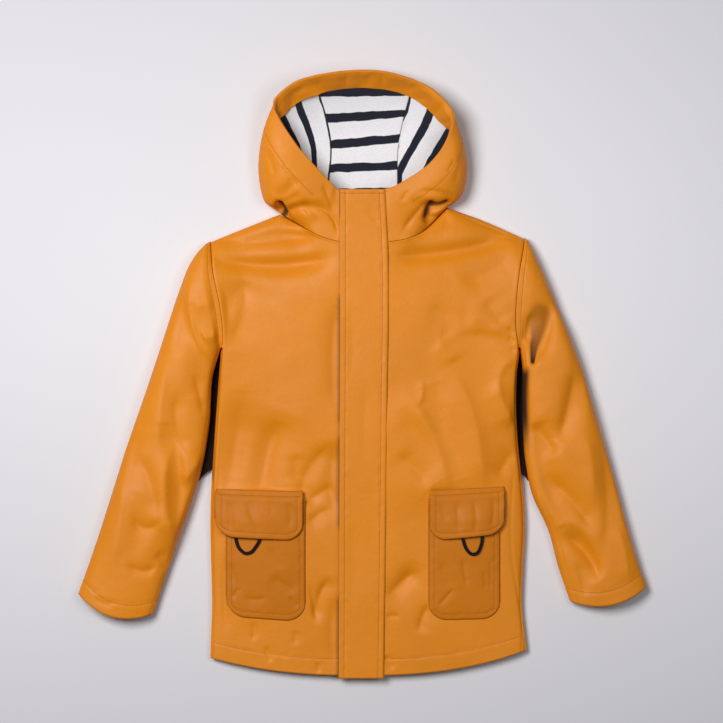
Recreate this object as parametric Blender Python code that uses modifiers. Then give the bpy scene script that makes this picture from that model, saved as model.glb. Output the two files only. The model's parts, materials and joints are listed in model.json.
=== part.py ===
"""Child's hooded raincoat, laid flat on its back with its hood open upwards.

World frame in metres: +X to the wearer's left, +Y towards the hood, +Z up, with the
origin under the middle of the garment, on the surface that it lies on.  All sizes and
tables below are in millimetres, and side is -1 for the wearer's right, 1 for the left.
Every cut piece is a grid of points on its outer face, worked out from the sections, that
Solidify makes into cloth of its real thickness.
"""
import math
from collections import namedtuple

import bmesh
import bpy
import numpy as np
from mathutils import Vector

MM = 0.001

# ---------------------------------------------------------------- driving sizes
WALL = 1.5              # coated shell cloth
LINING_WALL = 1.0       # jersey lining
FLAP_WALL = 2.0         # two layers, turned and stitched
SEAM_GAP = 0.3          # between two pieces that are sewn together
JOIN_DISTANCE = 0.00002

EDGE_RADIUS = 9.0       # half height of the soft fold at the sides
EDGE_DROP = 1.0         # the back's curled rim stays this far under the front's
SHOULDER_RADIUS = 11.0  # half height of the fold along the shoulders
SHOULDER_REACH = 62.0   # the front falls to the shoulder over this length
CROWN = 0.5             # how square the front's section is, 1 is an ellipse
FOLD_FADE = 26.0        # folds rise to full height over this, away from the storm flap

UNDERARM_Y = 34.6
ARMHOLE_HEIGHT = 33.0
EDGE_FADE = 70.0        # the armhole's height eases into the front over this
CORNER_REACH = 27.0     # the neck's corner is rounded off over this, each way,
CORNER_DEPTH = 22.0     # in the part of the front that lies this far below it
SLEEVE_CROWN = 0.62     # how square a sleeve's section is
CAP_REACH = 2.2         # rows of the table over which a sleeve leaves the armhole
CAP_STAND = 0.25        # room past the seam gap, where the armhole's rim leans

FACING_WIDTH = 30.0
ZIP_WIDTH = 28.0
ZIP_RIGHT_X = 8.0       # zip-side edge of the right front
ZIP_LEFT_X = 20.0       # zip-side edge of the left front
ZIP_WALL = 1.2
FLAP_HALF = 32.0        # the storm flap lies within this of the middle line
FLAP_TOP = 237.0
FLAP_PAST_HEM = 3.5
LOOP_DIAMETER = 4.2

SHELL = (0.62, 0.25, 0.035)
JERSEY = (0.86, 0.86, 0.87)
BLACK = (0.01, 0.01, 0.012)

# ---------------------------------------------------------------- tables
# Sections of the body: its sides and the height of its front.
Body = namedtuple("Body", "y right_x left_x height")
BODY = [
    Body(-390, -192.8, 209.5, 15.5),
    Body(-358, -192.6, 208.0, 17.0),
    Body(-288, -190.5, 201.8, 20.5),
    Body(-250, -191.5, 203.0, 22.0),
    Body(-186, -192.6, 205.4, 25.0),
    Body(-134, -191.0, 201.8, 27.5),
    Body(-82, -187.5, 196.5, 30.0),
    Body(-35, -184.0, 194.5, 32.0),
    Body(4, -181.0, 195.5, 33.5),
    Body(34.6, -178.8, 198.6, 34.5),
    Body(64, -179.2, 195.5, 35.5),
    Body(96, -183.7, 196.4, 36.5),
    Body(128, -190.6, 199.8, 37.0),
    Body(172, -194.5, 207.0, 37.5),
    Body(240, -198.0, 210.0, 40.0),
]

# The front neck seam and the shoulders, from the wearer's right to the left.
Plan = namedtuple("Plan", "x y")
FRONT_NECK = [
    Plan(-105.0, 206.0), Plan(-79.0, 190.7), Plan(-58.0, 179.2), Plan(-29.0, 170.2),
    Plan(8.0, 168.0), Plan(32.6, 170.2), Plan(61.0, 175.6), Plan(78.0, 184.0),
    Plan(95.0, 200.0), Plan(108.0, 214.5),
]
SHOULDER_RIGHT = [Plan(-194.5, 170.5), Plan(-144.0, 190.7), Plan(-105.0, 206.0)]
SHOULDER_LEFT = [Plan(108.0, 214.5), Plan(150.0, 199.4), Plan(207.0, 174.7)]
BACK_NECK_DROP = 11.0   # depth of the back neck seam's dip
NECK_TURN = 16.0        # the shoulder's curled rim runs out along the back neck in this
NECK_FLAT = (-52.0, 54.0)   # between these the front does not fall towards the neck

# The hem rises from the middle to the sides.
HEM_Y = -385.0
HEM_RISE_RIGHT = 21.0
HEM_RISE_LEFT = 25.0
HEM_HALF = 190.0
HEM_POWER = 2.4

# Sections across a sleeve, from the armhole to the cuff.
Sleeve = namedtuple("Sleeve", "outer_x outer_y inner_x inner_y height bow")
SLEEVE_RIGHT = [
    Sleeve(-194.5, 170.5, -178.8, 34.6, 34.0, 0.0),
    Sleeve(-197.5, 170.3, -181.4, 34.0, 34.2, 0.0),
    Sleeve(-209.0, 160.0, -184.6, 24.0, 36.0, 0.0),
    Sleeve(-223.0, 139.0, -188.5, 12.0, 37.0, 0.0),
    Sleeve(-236.0, 105.0, -192.0, -1.0, 37.5, 0.0),
    Sleeve(-250.0, 63.0, -193.8, -17.0, 37.5, 0.0),
    Sleeve(-264.0, 20.0, -194.6, -36.0, 37.0, 0.0),
    Sleeve(-281.5, -32.0, -196.5, -64.0, 36.0, 0.0),
    Sleeve(-303.0, -94.0, -205.0, -116.0, 35.0, 1.0),
    Sleeve(-321.0, -151.0, -220.5, -168.0, 33.5, 3.0),
    Sleeve(-336.5, -200.0, -236.5, -214.0, 31.5, 6.0),
    Sleeve(-350.5, -241.0, -252.0, -258.0, 29.0, 11.0),
    Sleeve(-364.0, -280.0, -268.3, -306.0, 25.0, 17.0),
]
SLEEVE_LEFT = [
    Sleeve(207.0, 174.7, 198.6, 34.6, 34.0, 0.0),
    Sleeve(210.0, 174.3, 201.2, 34.0, 34.2, 0.0),
    Sleeve(221.5, 153.0, 203.5, 21.0, 36.0, 0.0),
    Sleeve(236.0, 120.5, 205.0, 8.0, 37.0, 0.0),
    Sleeve(250.0, 88.5, 205.2, -7.0, 37.5, 0.0),
    Sleeve(265.0, 52.0, 205.2, -25.0, 37.5, 0.0),
    Sleeve(280.0, 12.0, 205.4, -45.0, 37.0, 0.0),
    Sleeve(293.0, -31.0, 206.0, -72.0, 36.0, 0.0),
    Sleeve(308.0, -82.0, 208.5, -108.0, 35.0, 1.0),
    Sleeve(324.0, -138.0, 217.5, -153.0, 33.5, 3.0),
    Sleeve(338.0, -190.0, 238.5, -200.0, 31.5, 5.0),
    Sleeve(350.5, -232.0, 251.0, -246.0, 29.0, 9.0),
    Sleeve(363.4, -272.0, 266.5, -290.0, 25.0, 14.0),
]

# Sections of the hood's sides, from the zip along the brim towards the centre panel:
# points on the brim, the crest, the widest part and the turn under, then the seam.  The
# first two lie at the height of the front, and a last one is the centre panel's own.
Hood = namedtuple("Hood", "brim crest side under seam")
HOOD_RIGHT = [
    Hood((8, 236.5, 39.6), (8, 222, 39.2), (8, 205, 38.5), (8, 187, 37.8), (8, 168)),
    Hood((-29, 236.5, 39.3), (-30, 222, 38.9), (-31, 205, 38.2), (-30, 187, 37.6), (-29, 170)),
    Hood((-39, 244, 43), (-45, 228, 44), (-52, 210, 41), (-56, 195, 37), (-58, 179)),
    Hood((-59, 265, 47), (-70, 243, 49), (-80, 219, 44), (-83, 206, 34), (-80, 191)),
    Hood((-79, 287, 50), (-97, 258, 51), (-118, 219, 33), (-114, 213, 17), (-105, 206)),
    Hood((-95, 309, 51), (-115, 277, 47), (-130, 236, 21), (-121, 226, 3), (-80, 198)),
    Hood((-108, 329, 51), (-124, 303, 41), (-132.5, 272, 18), (-119, 260, 0), (-50, 196)),
    Hood((-113.5, 342, 49), (-119, 333, 41), (-122, 316, 22), (-112, 301, 5), (-43, 237)),
    Hood((-110, 355, 47), (-104, 347, 35), (-92, 333, 19), (-70, 308, 4), (-40, 263)),
    Hood((-86, 374, 46), (-80, 364.5, 33), (-69, 348, 17), (-53, 322, 4), (-48, 284)),
]
HOOD_LEFT = [
    Hood((20, 236.5, 39.6), (20, 222, 39.2), (20, 205, 38.5), (20, 187, 37.8), (20, 169)),
    Hood((31, 238, 39.3), (31, 223, 38.9), (32, 205, 38.2), (32, 187, 37.6), (32.6, 170)),
    Hood((45.5, 243.5, 43), (50, 228, 44), (56, 210, 41), (60, 193, 37), (61, 175.6)),
    Hood((78.5, 264, 47), (86, 242, 49), (91, 219, 43), (88, 205, 32), (80, 186)),
    Hood((97, 283, 49), (109, 254, 48), (118, 224, 32), (115, 218, 18), (108, 214.5)),
    Hood((107, 299, 50.5), (122, 268, 45), (129.5, 234, 21), (119, 230, 3), (80, 204)),
    Hood((113, 314, 51), (126, 292, 41), (133.5, 262, 18), (119, 255, 0), (48, 197)),
    Hood((117, 330, 50), (121, 319, 39), (125, 300, 19), (112, 288, 3), (45, 237)),
    Hood((110.5, 344, 48), (105, 336.5, 36), (94, 322, 20), (73, 300, 4.5), (46.5, 262)),
    Hood((89, 365, 47), (82, 356, 34), (70, 341, 18), (57, 317, 4), (54, 282)),
]
SHOULDER_ROW, BACK_NECK_ROW = 4, 6

# The hood's centre panel: its seams, its brim, and how far inside the brim its flaring
# wall stands at each height, down to where it turns onto the surface.
Seam = namedtuple("Seam", "y x")
CENTRE_SEAM_RIGHT = [Seam(196, -50), Seam(250, -43), Seam(295, -40), Seam(338, -48),
                     Seam(362, -55), Seam(392, -57.5)]
CENTRE_SEAM_LEFT = [Seam(197, 48), Seam(250, 45), Seam(297, 46.5), Seam(335, 54),
                    Seam(358, 60), Seam(392, 63)]
CROWN_BRIM = [Plan(-57, 383), Plan(-30, 387), Plan(0, 389), Plan(20, 388.2),
              Plan(40, 384.8), Plan(62, 378.3)]
Wall = namedtuple("Wall", "inside z")
CROWN_WALL = [Wall(0, 46), Wall(10, 33), Wall(30, 16.5), Wall(60, 4)]
CROWN_FLOOR = 78.0      # the centre panel lies flat from this far inside its brim
SEAM_FLAT = 8.0         # and each side lies flat for this far before it joins the centre

# Large soft folds: from start to end, how far the line bows to its left, half widths to
# its left and right, and height, negative for a trough.
Fold = namedtuple("Fold", "x0 y0 x1 y1 bow left right height")
BODY_FOLDS = [
    Fold(-196, 146, -24, 151, -8, 9, 14, -4.5),
    Fold(-150, 172, -62, 176, 5, 7, 10, -3.5),
    Fold(36, 151, 186, 174, -6, 14, 9, -4.5),
    Fold(100, 50, 196, 42, 8, 16, 16, -4.5),
    Fold(-150, 120, -176, 60, -8, 12, 18, -4.0),
    Fold(-150, -20, -165, -130, -6, 14, 18, -3.0),
    Fold(-105, -60, -125, -145, -8, 12, 16, -3.0),
    Fold(44, -45, 98, -135, 8, 12, 18, -3.5),
    Fold(92, -10, 132, -130, -10, 12, 20, -3.5),
    Fold(38, -290, 74, -242, 4, 14, 10, -3.0),
]
SLEEVE_FOLDS = [
    Fold(-224, 92, -214, -30, 12, 12, 16, -5.0),
    Fold(-252, -60, -242, -190, 12, 8, 16, -6.0),
    Fold(-290, 0, -318, -120, -6, 12, 14, -3.0),
    Fold(-285, -150, -300, -240, 8, 12, 14, -2.5),
    Fold(226, -60, 262, -190, -10, 16, 10, -5.5),
    Fold(256, -190, 300, -262, 8, 9, 16, -5.5),
    Fold(283, 20, 252, -86, 6, 14, 12, -3.5),
    Fold(318, -110, 340, -250, -6, 12, 14, -2.5),
]
HOOD_FOLDS = [
    Fold(-104, 208, -46, 213, 5, 5, 8, -5.0),
    Fold(-84, 250, -112, 228, 5, 6, 8, -3.0),
    Fold(62, 222, 118, 224, -8, 6, 8, -4.0),
]
HOOD_FOLD_FLOOR = 22.0  # the hood's folds fade out downwards above this height
HOOD_FOLD_FADE = 10.0

# Edges of the storm flap: free on the wearer's right, sewn on the left.
Edge = namedtuple("Edge", "y free_x sewn_x")
FLAP_EDGE = [Edge(-390, -31.5, 27.0), Edge(-160, -30.5, 30.0), Edge(-32, -30.0, 31.4),
             Edge(160, -29.6, 32.4), Edge(240, -29.6, 28.5)]

# Patch pockets and their flaps, as plan outlines on the front: edges, top and bottom, how
# far both drop towards the inner and the outer edge, and the corner radius.
Patch = namedtuple("Patch", "inner_x outer_x top_y bottom_y inner_drop outer_drop radius")
POCKETS = {
    "right": Patch(-73.0, -175.0, -156.0, -309.0, 7.0, 0.0, 26.0),
    "left": Patch(84.0, 176.0, -155.0, -309.0, 5.0, 3.0, 24.0),
}
FLAPS = {
    "right": Patch(-76.0, -187.0, -145.5, -206.0, 6.0, 0.0, 24.0),
    "left": Patch(86.0, 181.0, -144.5, -207.0, 5.0, -4.5, 22.0),
}
POCKET_SWELL = 2.6      # height of a pocket's middle over its stitched rim
FLAP_RISE = 4.4         # how far a flap climbs onto its pocket's top edge
FLAP_RISE_SHARE = 0.22  # share of the flap's length in which it climbs
FLAP_STAND = 5.2        # how much more it stands off over the pull loop
STAND_FROM, STAND_RUN = 0.2, 0.5    # where along the flap this stand grows
LOOP_SPREAD = 0.36      # share of the flap's width that it reaches

# Route of each pull loop, in plan, from under the flap and back.
LOOP_ROUTES = {
    "right": [(-161, -196), (-162, -203), (-161, -212), (-157.5, -221), (-150, -227.5),
              (-142, -226), (-136, -219), (-131.5, -211), (-131, -203), (-132, -197)],
    "left": [(127, -197), (127, -204), (129, -213), (132.5, -222), (139, -228.5),
             (146.5, -227), (150.5, -219.5), (152.5, -211), (152.5, -203), (151.5, -196)],
}

# ---------------------------------------------------------------- grids
# Rows of a front: shares of the way up to where it starts to fall to the shoulders, then
# distances below the neck and the shoulders.
FRONT_UP = np.array([0, .04, .10, .18, .27, .36, .45, .54, .62, .69, .74, .785, .83, .88, .94, 1])
FRONT_TOP = np.array([SHOULDER_REACH, 42, 24, 12, 5, 1.5, 0])
NECK_COLUMNS, SHOULDER_COLUMNS = 8, 6
RIM_STEPS = 5           # columns and rows of the back's curled rim
SLEEVE_STATIONS = np.concatenate([[0, 1, 1.35, 1.8, 2.4, 3.1], np.linspace(4, 12, 11)])
SLEEVE_AROUND = np.linspace(0, 2 * math.pi, 21)
HOOD_STEPS = ([0, 1, 4, 6, 10], [1, 5, 4, 7])   # breaks along the brim, and steps between
CROWN_SHARES = np.linspace(0, 1, 7)
HOOD_BAND = [0, 10, 20, FACING_WIDTH, 37, 44, 51, 58]   # distances from the brim
HOOD_REST = 9           # even steps from there to the seam
NECK_SHORT = 0.94       # share of a step that the lining stops short of the neck
FACING_SHORT = 0.06     # and of the facing


# ---------------------------------------------------------------- curves
def column(table, name):
    return np.array([getattr(row, name) for row in table], dtype=float)


def smooth(keys, values, t):
    """Values at t of a smooth curve through the rows of a table."""
    keys, values, t = np.asarray(keys, float), np.asarray(values, float), np.asarray(t, float)
    t = np.clip(t, keys[0], keys[-1])
    i = np.clip(np.searchsorted(keys, t, side="right") - 1, 0, len(keys) - 2)
    slopes = np.gradient(values, keys, axis=0)
    h = keys[i + 1] - keys[i]
    f = (t - keys[i]) / h
    shape = f.shape + (1,) * (values.ndim - 1)
    f, h = f.reshape(shape), h.reshape(shape)
    return ((1 + 2 * f) * (1 - f) ** 2 * values[i] + f * (1 - f) ** 2 * h * slopes[i]
            + f * f * (3 - 2 * f) * values[i + 1] - f * f * (1 - f) * h * slopes[i + 1])


def table_curve(table, key, name, t):
    return smooth(column(table, key), column(table, name), t)


def ease(t):
    t = np.clip(t, 0, 1)
    return t * t * (3 - 2 * t)


def curl(distance, radius):
    """Height of the underside at a distance in from a rounded edge."""
    inside = np.clip(radius - distance, 0, radius)
    return radius - np.sqrt(radius ** 2 - inside ** 2)


def relief(folds, x, y):
    """Height that a table of soft folds adds at points of the plan."""
    total = np.zeros(np.broadcast(x, y).shape)
    for fold in folds:
        run = np.array([fold.x1 - fold.x0, fold.y1 - fold.y0])
        length = math.hypot(*run)
        run = run / length
        along = ((x - fold.x0) * run[0] + (y - fold.y0) * run[1]) / length
        across = (y - fold.y0) * run[0] - (x - fold.x0) * run[1]
        across = across - fold.bow * 4 * along * (1 - along)
        width = np.where(across > 0, fold.left, fold.right)
        taper = np.sin(np.clip(along, 0, 1) * math.pi) ** 0.7
        total = total + fold.height * taper * np.exp(-(across / width) ** 2)
    return total


def blocks(breaks, counts):
    """Even steps between each pair of breaks, without repeats."""
    runs = [np.linspace(a, b, n, endpoint=False)
            for a, b, n in zip(breaks[:-1], breaks[1:], counts)]
    return np.concatenate(runs + [[breaks[-1]]])


# ---------------------------------------------------------------- body
def side_x(side, y):
    return table_curve(BODY, "y", "right_x" if side < 0 else "left_x", y)


def neck_x(side):
    return FRONT_NECK[0].x if side < 0 else FRONT_NECK[-1].x


def shoulder_tip_y(side):
    """Where the shoulder line meets the armhole."""
    return SHOULDER_RIGHT[0].y if side < 0 else SHOULDER_LEFT[-1].y


def top_y(x):
    """Height of the front neck seam or, past it, of the shoulder line."""
    neck = table_curve(FRONT_NECK, "x", "y", x)
    right = table_curve(SHOULDER_RIGHT, "x", "y", x)
    left = table_curve(SHOULDER_LEFT, "x", "y", x)
    return np.where(x < neck_x(-1), right, np.where(x > neck_x(1), left, neck))


def soft_top_y(x, y):
    """The same, with its corners at the neck rounded off for what lies further down."""
    edge = top_y(x)
    steps = np.linspace(-CORNER_REACH, CORNER_REACH, 7)
    even = sum(top_y(x + step) for step in steps) / len(steps)
    return edge + (even - edge) * ease((edge - y) / CORNER_DEPTH)


def back_neck_y(x):
    """Height of the back neck seam, a shallow dip between the two shoulders."""
    t = (x - neck_x(-1)) / (neck_x(1) - neck_x(-1))
    chord = FRONT_NECK[0].y + (FRONT_NECK[-1].y - FRONT_NECK[0].y) * t
    return chord - BACK_NECK_DROP * np.clip(4 * t * (1 - t), 0, 1) ** 0.6


def back_top_y(x):
    inside = (x > neck_x(-1)) & (x < neck_x(1))
    return np.where(inside, back_neck_y(x), top_y(x))


def hem_y(x):
    rise = np.where(x < 0, HEM_RISE_RIGHT, HEM_RISE_LEFT)
    return HEM_Y + rise * (np.abs(x) / HEM_HALF) ** HEM_POWER


def armhole_height(side, y):
    """Height of the front along the side: the fold's, then the armhole's above it."""
    tip = shoulder_tip_y(side)
    a = np.clip((tip - y) / (tip - UNDERARM_Y), 0, 1)
    arch = (2 * np.sqrt(a * (1 - a))) ** SLEEVE_CROWN
    return EDGE_RADIUS + (ARMHOLE_HEIGHT - EDGE_RADIUS) * np.where(y > UNDERARM_Y, arch, 0)


def shoulder_share(x):
    """1 along the shoulders, falling to 0 towards the middle of the neck."""
    right = ease((x - NECK_FLAT[0]) / (neck_x(-1) - NECK_FLAT[0]))
    left = ease((x - NECK_FLAT[1]) / (neck_x(1) - NECK_FLAT[1]))
    return np.maximum(right, left)


def front_height(x, y):
    """Height of the front's outer face at points of the plan."""
    right, left = side_x(-1, y), side_x(1, y)
    middle, half = (left + right) / 2, (left - right) / 2
    across = np.clip((x - middle) / half, -1, 1)
    crown = np.sqrt(1 - across ** 2) ** CROWN
    edge = np.where(across < 0, armhole_height(-1, y), armhole_height(1, y))
    inside = np.minimum(x - right, left - x)
    edge = EDGE_RADIUS + (edge - EDGE_RADIUS) * ease(1 - inside / EDGE_FADE)
    height = edge + (table_curve(BODY, "y", "height", y) - edge) * crown
    depth = np.clip((soft_top_y(x, y) - y) / SHOULDER_REACH, 0, 1)
    fall = 1 - shoulder_share(x) * (1 - np.sqrt(1 - (1 - depth) ** 2))
    height = SHOULDER_RADIUS + (height - SHOULDER_RADIUS) * fall
    fade = ease((1 - np.abs(across)) / 0.06) * ease(depth * SHOULDER_REACH / 12)
    fade = fade * ease((np.abs(x) - FLAP_HALF - 4) / FOLD_FADE)
    return height + relief(BODY_FOLDS, x, y) * fade


def front_points(side):
    """Grid of outer points of one front, hem to neck, zip edge to side."""
    zip_x = ZIP_RIGHT_X if side < 0 else ZIP_LEFT_X
    tip = shoulder_tip_y(side)

    def plan_x(y, share):
        """Columns fan out from the zip edge to the side."""
        middle = (side_x(1, y) + side_x(-1, y)) / 2
        return middle + (side_x(side, y) - side * 0.2 - middle) * share + (zip_x - middle) * (1 - share)

    middle = (side_x(1, tip) + side_x(-1, tip)) / 2
    half = (side_x(1, tip) - side_x(-1, tip)) / 2
    neck_angle = math.acos(abs(neck_x(side) - middle) / half)
    angles = np.concatenate([
        neck_angle * np.linspace(0, 1, NECK_COLUMNS) ** 1.4,
        np.linspace(neck_angle, math.pi / 2, SHOULDER_COLUMNS)[1:]])
    points = []
    for share in np.cos(angles):
        high = float(top_y(plan_x(tip, share))) - SEAM_GAP
        low = float(hem_y(plan_x(HEM_Y, share)))
        y = np.concatenate([low + (high - SHOULDER_REACH - low) * FRONT_UP, high - FRONT_TOP[1:]])
        x = plan_x(y, share)
        points.append(np.stack([x, y, front_height(x, y)], axis=-1))
    return np.stack(points, axis=1)


def back_points():
    """Grid of outer points of the back: flat, curled up at the sides and shoulders."""
    turn = EDGE_RADIUS * (1 - np.cos(np.linspace(0, math.pi / 2, RIM_STEPS)))
    up = blocks([0, 0.74, 0.80, 1], [7, 3, 4])[:-1, None]
    middle = (NECK_FLAT[0] + NECK_FLAT[1]) / 2
    halves = []
    for side in (-1, 1):
        edge_top = float(side_x(side, shoulder_tip_y(side)))
        reach = abs(edge_top - neck_x(side))
        inset = np.concatenate([turn, [(turn[-1] + reach) / 2, reach]])
        top_x = np.concatenate([edge_top - side * inset,
                                np.linspace(neck_x(side), middle, 4)[1:]])
        high = back_top_y(top_x) - SEAM_GAP
        low = hem_y(top_x)
        y = np.concatenate([low + (high - turn[-1] - low) * up, high - turn[::-1, None]])
        edge = side_x(side, y)
        x = middle + (edge - middle) * (top_x - middle) / (edge_top - middle)
        x[:, :RIM_STEPS] = edge[:, :RIM_STEPS] - side * turn
        inward = np.hypot(edge - x, np.maximum(y - UNDERARM_Y, 0))
        outside = (x - neck_x(side)) * side >= 0
        keep = np.where(outside, 1, ease(1 - np.abs(x - neck_x(side)) / NECK_TURN))
        rim = np.maximum(curl(inward, EDGE_RADIUS), curl(back_top_y(x) - y, SHOULDER_RADIUS) * keep)
        half = np.stack([x, y, np.maximum(rim - EDGE_DROP, 0)], axis=-1)
        halves.append(half if side < 0 else half[:, ::-1][:, 1:])
    return np.concatenate(halves, axis=1)


# ---------------------------------------------------------------- sleeves
def sleeve_points(side, around, stations):
    """Closed rings of outer points of a sleeve, armhole to cuff."""
    table = SLEEVE_RIGHT if side < 0 else SLEEVE_LEFT
    rows = np.arange(len(table))
    cos, sin = np.cos(around), np.sin(around)
    a = (1 - cos) / 2
    armhole_x = table[0].outer_x + (table[0].inner_x - table[0].outer_x) * a
    rings = []
    for s in stations:
        row = Sleeve(*[float(smooth(rows, column(table, name), s)) for name in Sleeve._fields])
        run = np.array([row.inner_x - row.outer_x, row.inner_y - row.outer_y])
        width = math.hypot(*run)
        out = np.array([-run[1], run[0]]) / width * side
        x = row.outer_x + run[0] * a + out[0] * row.bow * 4 * a * (1 - a)
        y = row.outer_y + run[1] * a + out[1] * row.bow * 4 * a * (1 - a)
        near = float(ease(1 - s / CAP_REACH))
        x = x + (side_x(side, y) - armhole_x + side * (SEAM_GAP + CAP_STAND)) * near
        arch = EDGE_RADIUS + (row.height - EDGE_RADIUS) * np.abs(sin) ** SLEEVE_CROWN
        arch = arch + relief(SLEEVE_FOLDS, x, y) * ease(np.abs(sin) * 1.4) * (1 - near)
        top = front_height(side_x(side, y), y) * near + arch * (1 - near)
        under = curl(np.minimum(a, 1 - a) * width, EDGE_RADIUS)
        rings.append(np.stack([x, y, np.where(sin >= -1e-9, top, under)], axis=-1))
    return np.array(rings)


# ---------------------------------------------------------------- hood
def centre_seam_x(side, y):
    table = CENTRE_SEAM_RIGHT if side < 0 else CENTRE_SEAM_LEFT
    return table_curve(table, "y", "x", y)


def crown_edge(side):
    """Knots of the crown's wall along the seam at one side, and its brim's y."""
    end = CROWN_BRIM[0] if side < 0 else CROWN_BRIM[-1]
    brim = float(table_curve(CROWN_BRIM, "x", "y", centre_seam_x(side, end.y)))
    return [(float(centre_seam_x(side, brim - row.inside)) + side * SEAM_GAP,
             brim - row.inside, row.z) for row in CROWN_WALL], brim


def hood_seam(side, s):
    """Where a hood side ends: front neck seam, back neck seam, then the centre panel."""
    table = HOOD_RIGHT if side < 0 else HOOD_LEFT
    last = (0, crown_edge(side)[1] - CROWN_FLOOR - SEAM_FLAT)
    seam = np.array([row.seam for row in table] + [last], dtype=float)
    rows = np.arange(len(seam))
    if s <= SHOULDER_ROW:
        x = float(np.clip(smooth(rows, seam[:, 0], s), neck_x(-1), neck_x(1)))
        y = float(top_y(x))
        return x, y + SEAM_GAP, float(front_height(x, y))
    if s <= BACK_NECK_ROW:
        share = (s - SHOULDER_ROW) / (BACK_NECK_ROW - SHOULDER_ROW)
        x = neck_x(side) + (seam[BACK_NECK_ROW, 0] + side * SEAM_GAP - neck_x(side)) * share
        rim = SHOULDER_RADIUS * float(ease(1 - abs(x - neck_x(side)) / NECK_TURN))
        return x, float(back_neck_y(x)) + SEAM_GAP, max(rim - EDGE_DROP, 0)
    y = float(np.interp(s, rows, seam[:, 1]))
    return float(centre_seam_x(side, y)) + side * SEAM_GAP, y, 0


def even_path(path, samples=80):
    """Smooth curve through a few points in space, evenly spaced, never below the floor."""
    path = np.array(path, dtype=float)
    chord = np.linalg.norm(np.diff(path, axis=0), axis=1)
    span = np.concatenate([[0], np.cumsum(chord ** 0.6)])
    fine = smooth(span, path, np.linspace(0, span[-1], 2 * samples))
    fine[:, 2] = np.maximum(fine[:, 2], 0)
    length = np.concatenate([[0], np.cumsum(np.linalg.norm(np.diff(fine, axis=0), axis=1))])
    even = np.linspace(0, length[-1], samples)
    return np.stack([np.interp(even, length, fine[:, k]) for k in range(3)], axis=-1), length[-1]


def hood_section(side, s):
    """Section of a hood side, from the brim round to its seam."""
    table = HOOD_RIGHT if side < 0 else HOOD_LEFT
    knots = np.array([[row.brim, row.crest, row.side, row.under] for row in table], dtype=float)
    knots[:2, :, 2] = front_height(knots[:2, :, 0], knots[:2, :, 1])
    knots = np.concatenate([knots, [crown_edge(side)[0]]])
    path = smooth(np.arange(len(knots)), knots, s)
    seam = np.array(hood_seam(side, s))
    if s > BACK_NECK_ROW:
        flat = seam + (path[-1] - seam) * SEAM_FLAT / np.linalg.norm(path[-1] - seam)
        path = np.vstack([path, [flat[0], flat[1], 0]])
    points, length = even_path(np.vstack([path, seam]))
    if s == len(table):
        points[:, 0] = centre_seam_x(side, points[:, 1]) + side * SEAM_GAP
    return points, length


def crown_section(share):
    """Section of the centre panel: brim, down the crown, along the surface to the neck."""
    def place_x(y):
        right = centre_seam_x(-1, y) + SEAM_GAP
        return right + (centre_seam_x(1, y) - SEAM_GAP - right) * share
    brim = float(table_curve(CROWN_BRIM, "x", "y", place_x(CROWN_BRIM[0].y)))
    neck = float(back_neck_y(place_x(CENTRE_SEAM_RIGHT[0].y))) + SEAM_GAP
    wall = [(0, brim - row.inside, row.z) for row in CROWN_WALL]
    floor = [(0, y, 0) for y in np.linspace(brim - CROWN_FLOOR, neck, 6)]
    points, length = even_path(wall + floor)
    points[:, 0] = place_x(points[:, 1])
    return points, length


def along(section, distances):
    """Points of a section at distances from the brim."""
    points, length = section
    steps = np.asarray(distances) / length * (len(points) - 1)
    return np.stack([np.interp(steps, np.arange(len(points)), points[:, k]) for k in range(3)], -1)


def surface_normals(points):
    """Unit normals of a grid of points."""
    normals = np.cross(np.gradient(points, axis=1), np.gradient(points, axis=0))
    return normals / np.maximum(np.linalg.norm(normals, axis=-1, keepdims=True), 1e-9)


def hood_grid(rows, shares, band, rest):
    """Outer points of the whole hood, in columns from the neck and seams to the brim.

    band lists distances from the brim, and rest is how many even steps follow them.
    Rows run along the brim: the right side, the centre panel, then the left side.
    Returns the grid and where each of the three ends."""
    sections = [hood_section(-1, s) for s in rows]
    sections += [crown_section(share) for share in shares]
    sections += [hood_section(1, s) for s in rows[::-1]]
    grid = np.array([along(section, np.concatenate([band, np.linspace(
        band[-1], section[1], rest + 1)[1:]])) for section in sections])
    lift = relief(HOOD_FOLDS, grid[..., 0], grid[..., 1])
    grid[..., 2] += lift * ease((grid[..., 2] - HOOD_FOLD_FLOOR) / HOOD_FOLD_FADE)
    return grid[:, ::-1], np.cumsum([len(rows), len(shares), len(rows)])


# ---------------------------------------------------------------- what lies on the front
def lifted(x, y, lift):
    """Points that stand off the front's outer face by a lift along its normal."""
    step = 0.5
    z = front_height(x, y)
    slope_x = (front_height(x + step, y) - front_height(x - step, y)) / (2 * step)
    slope_y = (front_height(x, y + step) - front_height(x, y - step)) / (2 * step)
    scale = lift / np.sqrt(1 + slope_x ** 2 + slope_y ** 2)
    return np.stack([x - slope_x * scale, y - slope_y * scale, z + scale], axis=-1)


def patch_plan(patch, u, v):
    """Plan position in a patch: u from the inner edge outwards, v from the top down."""
    width = patch.outer_x - patch.inner_x
    drop = patch.inner_drop + (patch.outer_drop - patch.inner_drop) * u
    inside = np.clip(patch.radius - np.minimum(u, 1 - u) * abs(width), 0, patch.radius)
    corner = patch.radius - np.sqrt(patch.radius ** 2 - inside ** 2)
    high = patch.top_y - drop * 0.5
    low = patch.bottom_y - drop + corner
    return patch.inner_x + width * u, high + (low - high) * v


def patch_grid(patch, rows, columns):
    v, u = np.meshgrid(np.linspace(0, 1, rows), np.linspace(0, 1, columns), indexing="ij")
    return u, v, *patch_plan(patch, u, v)


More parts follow.
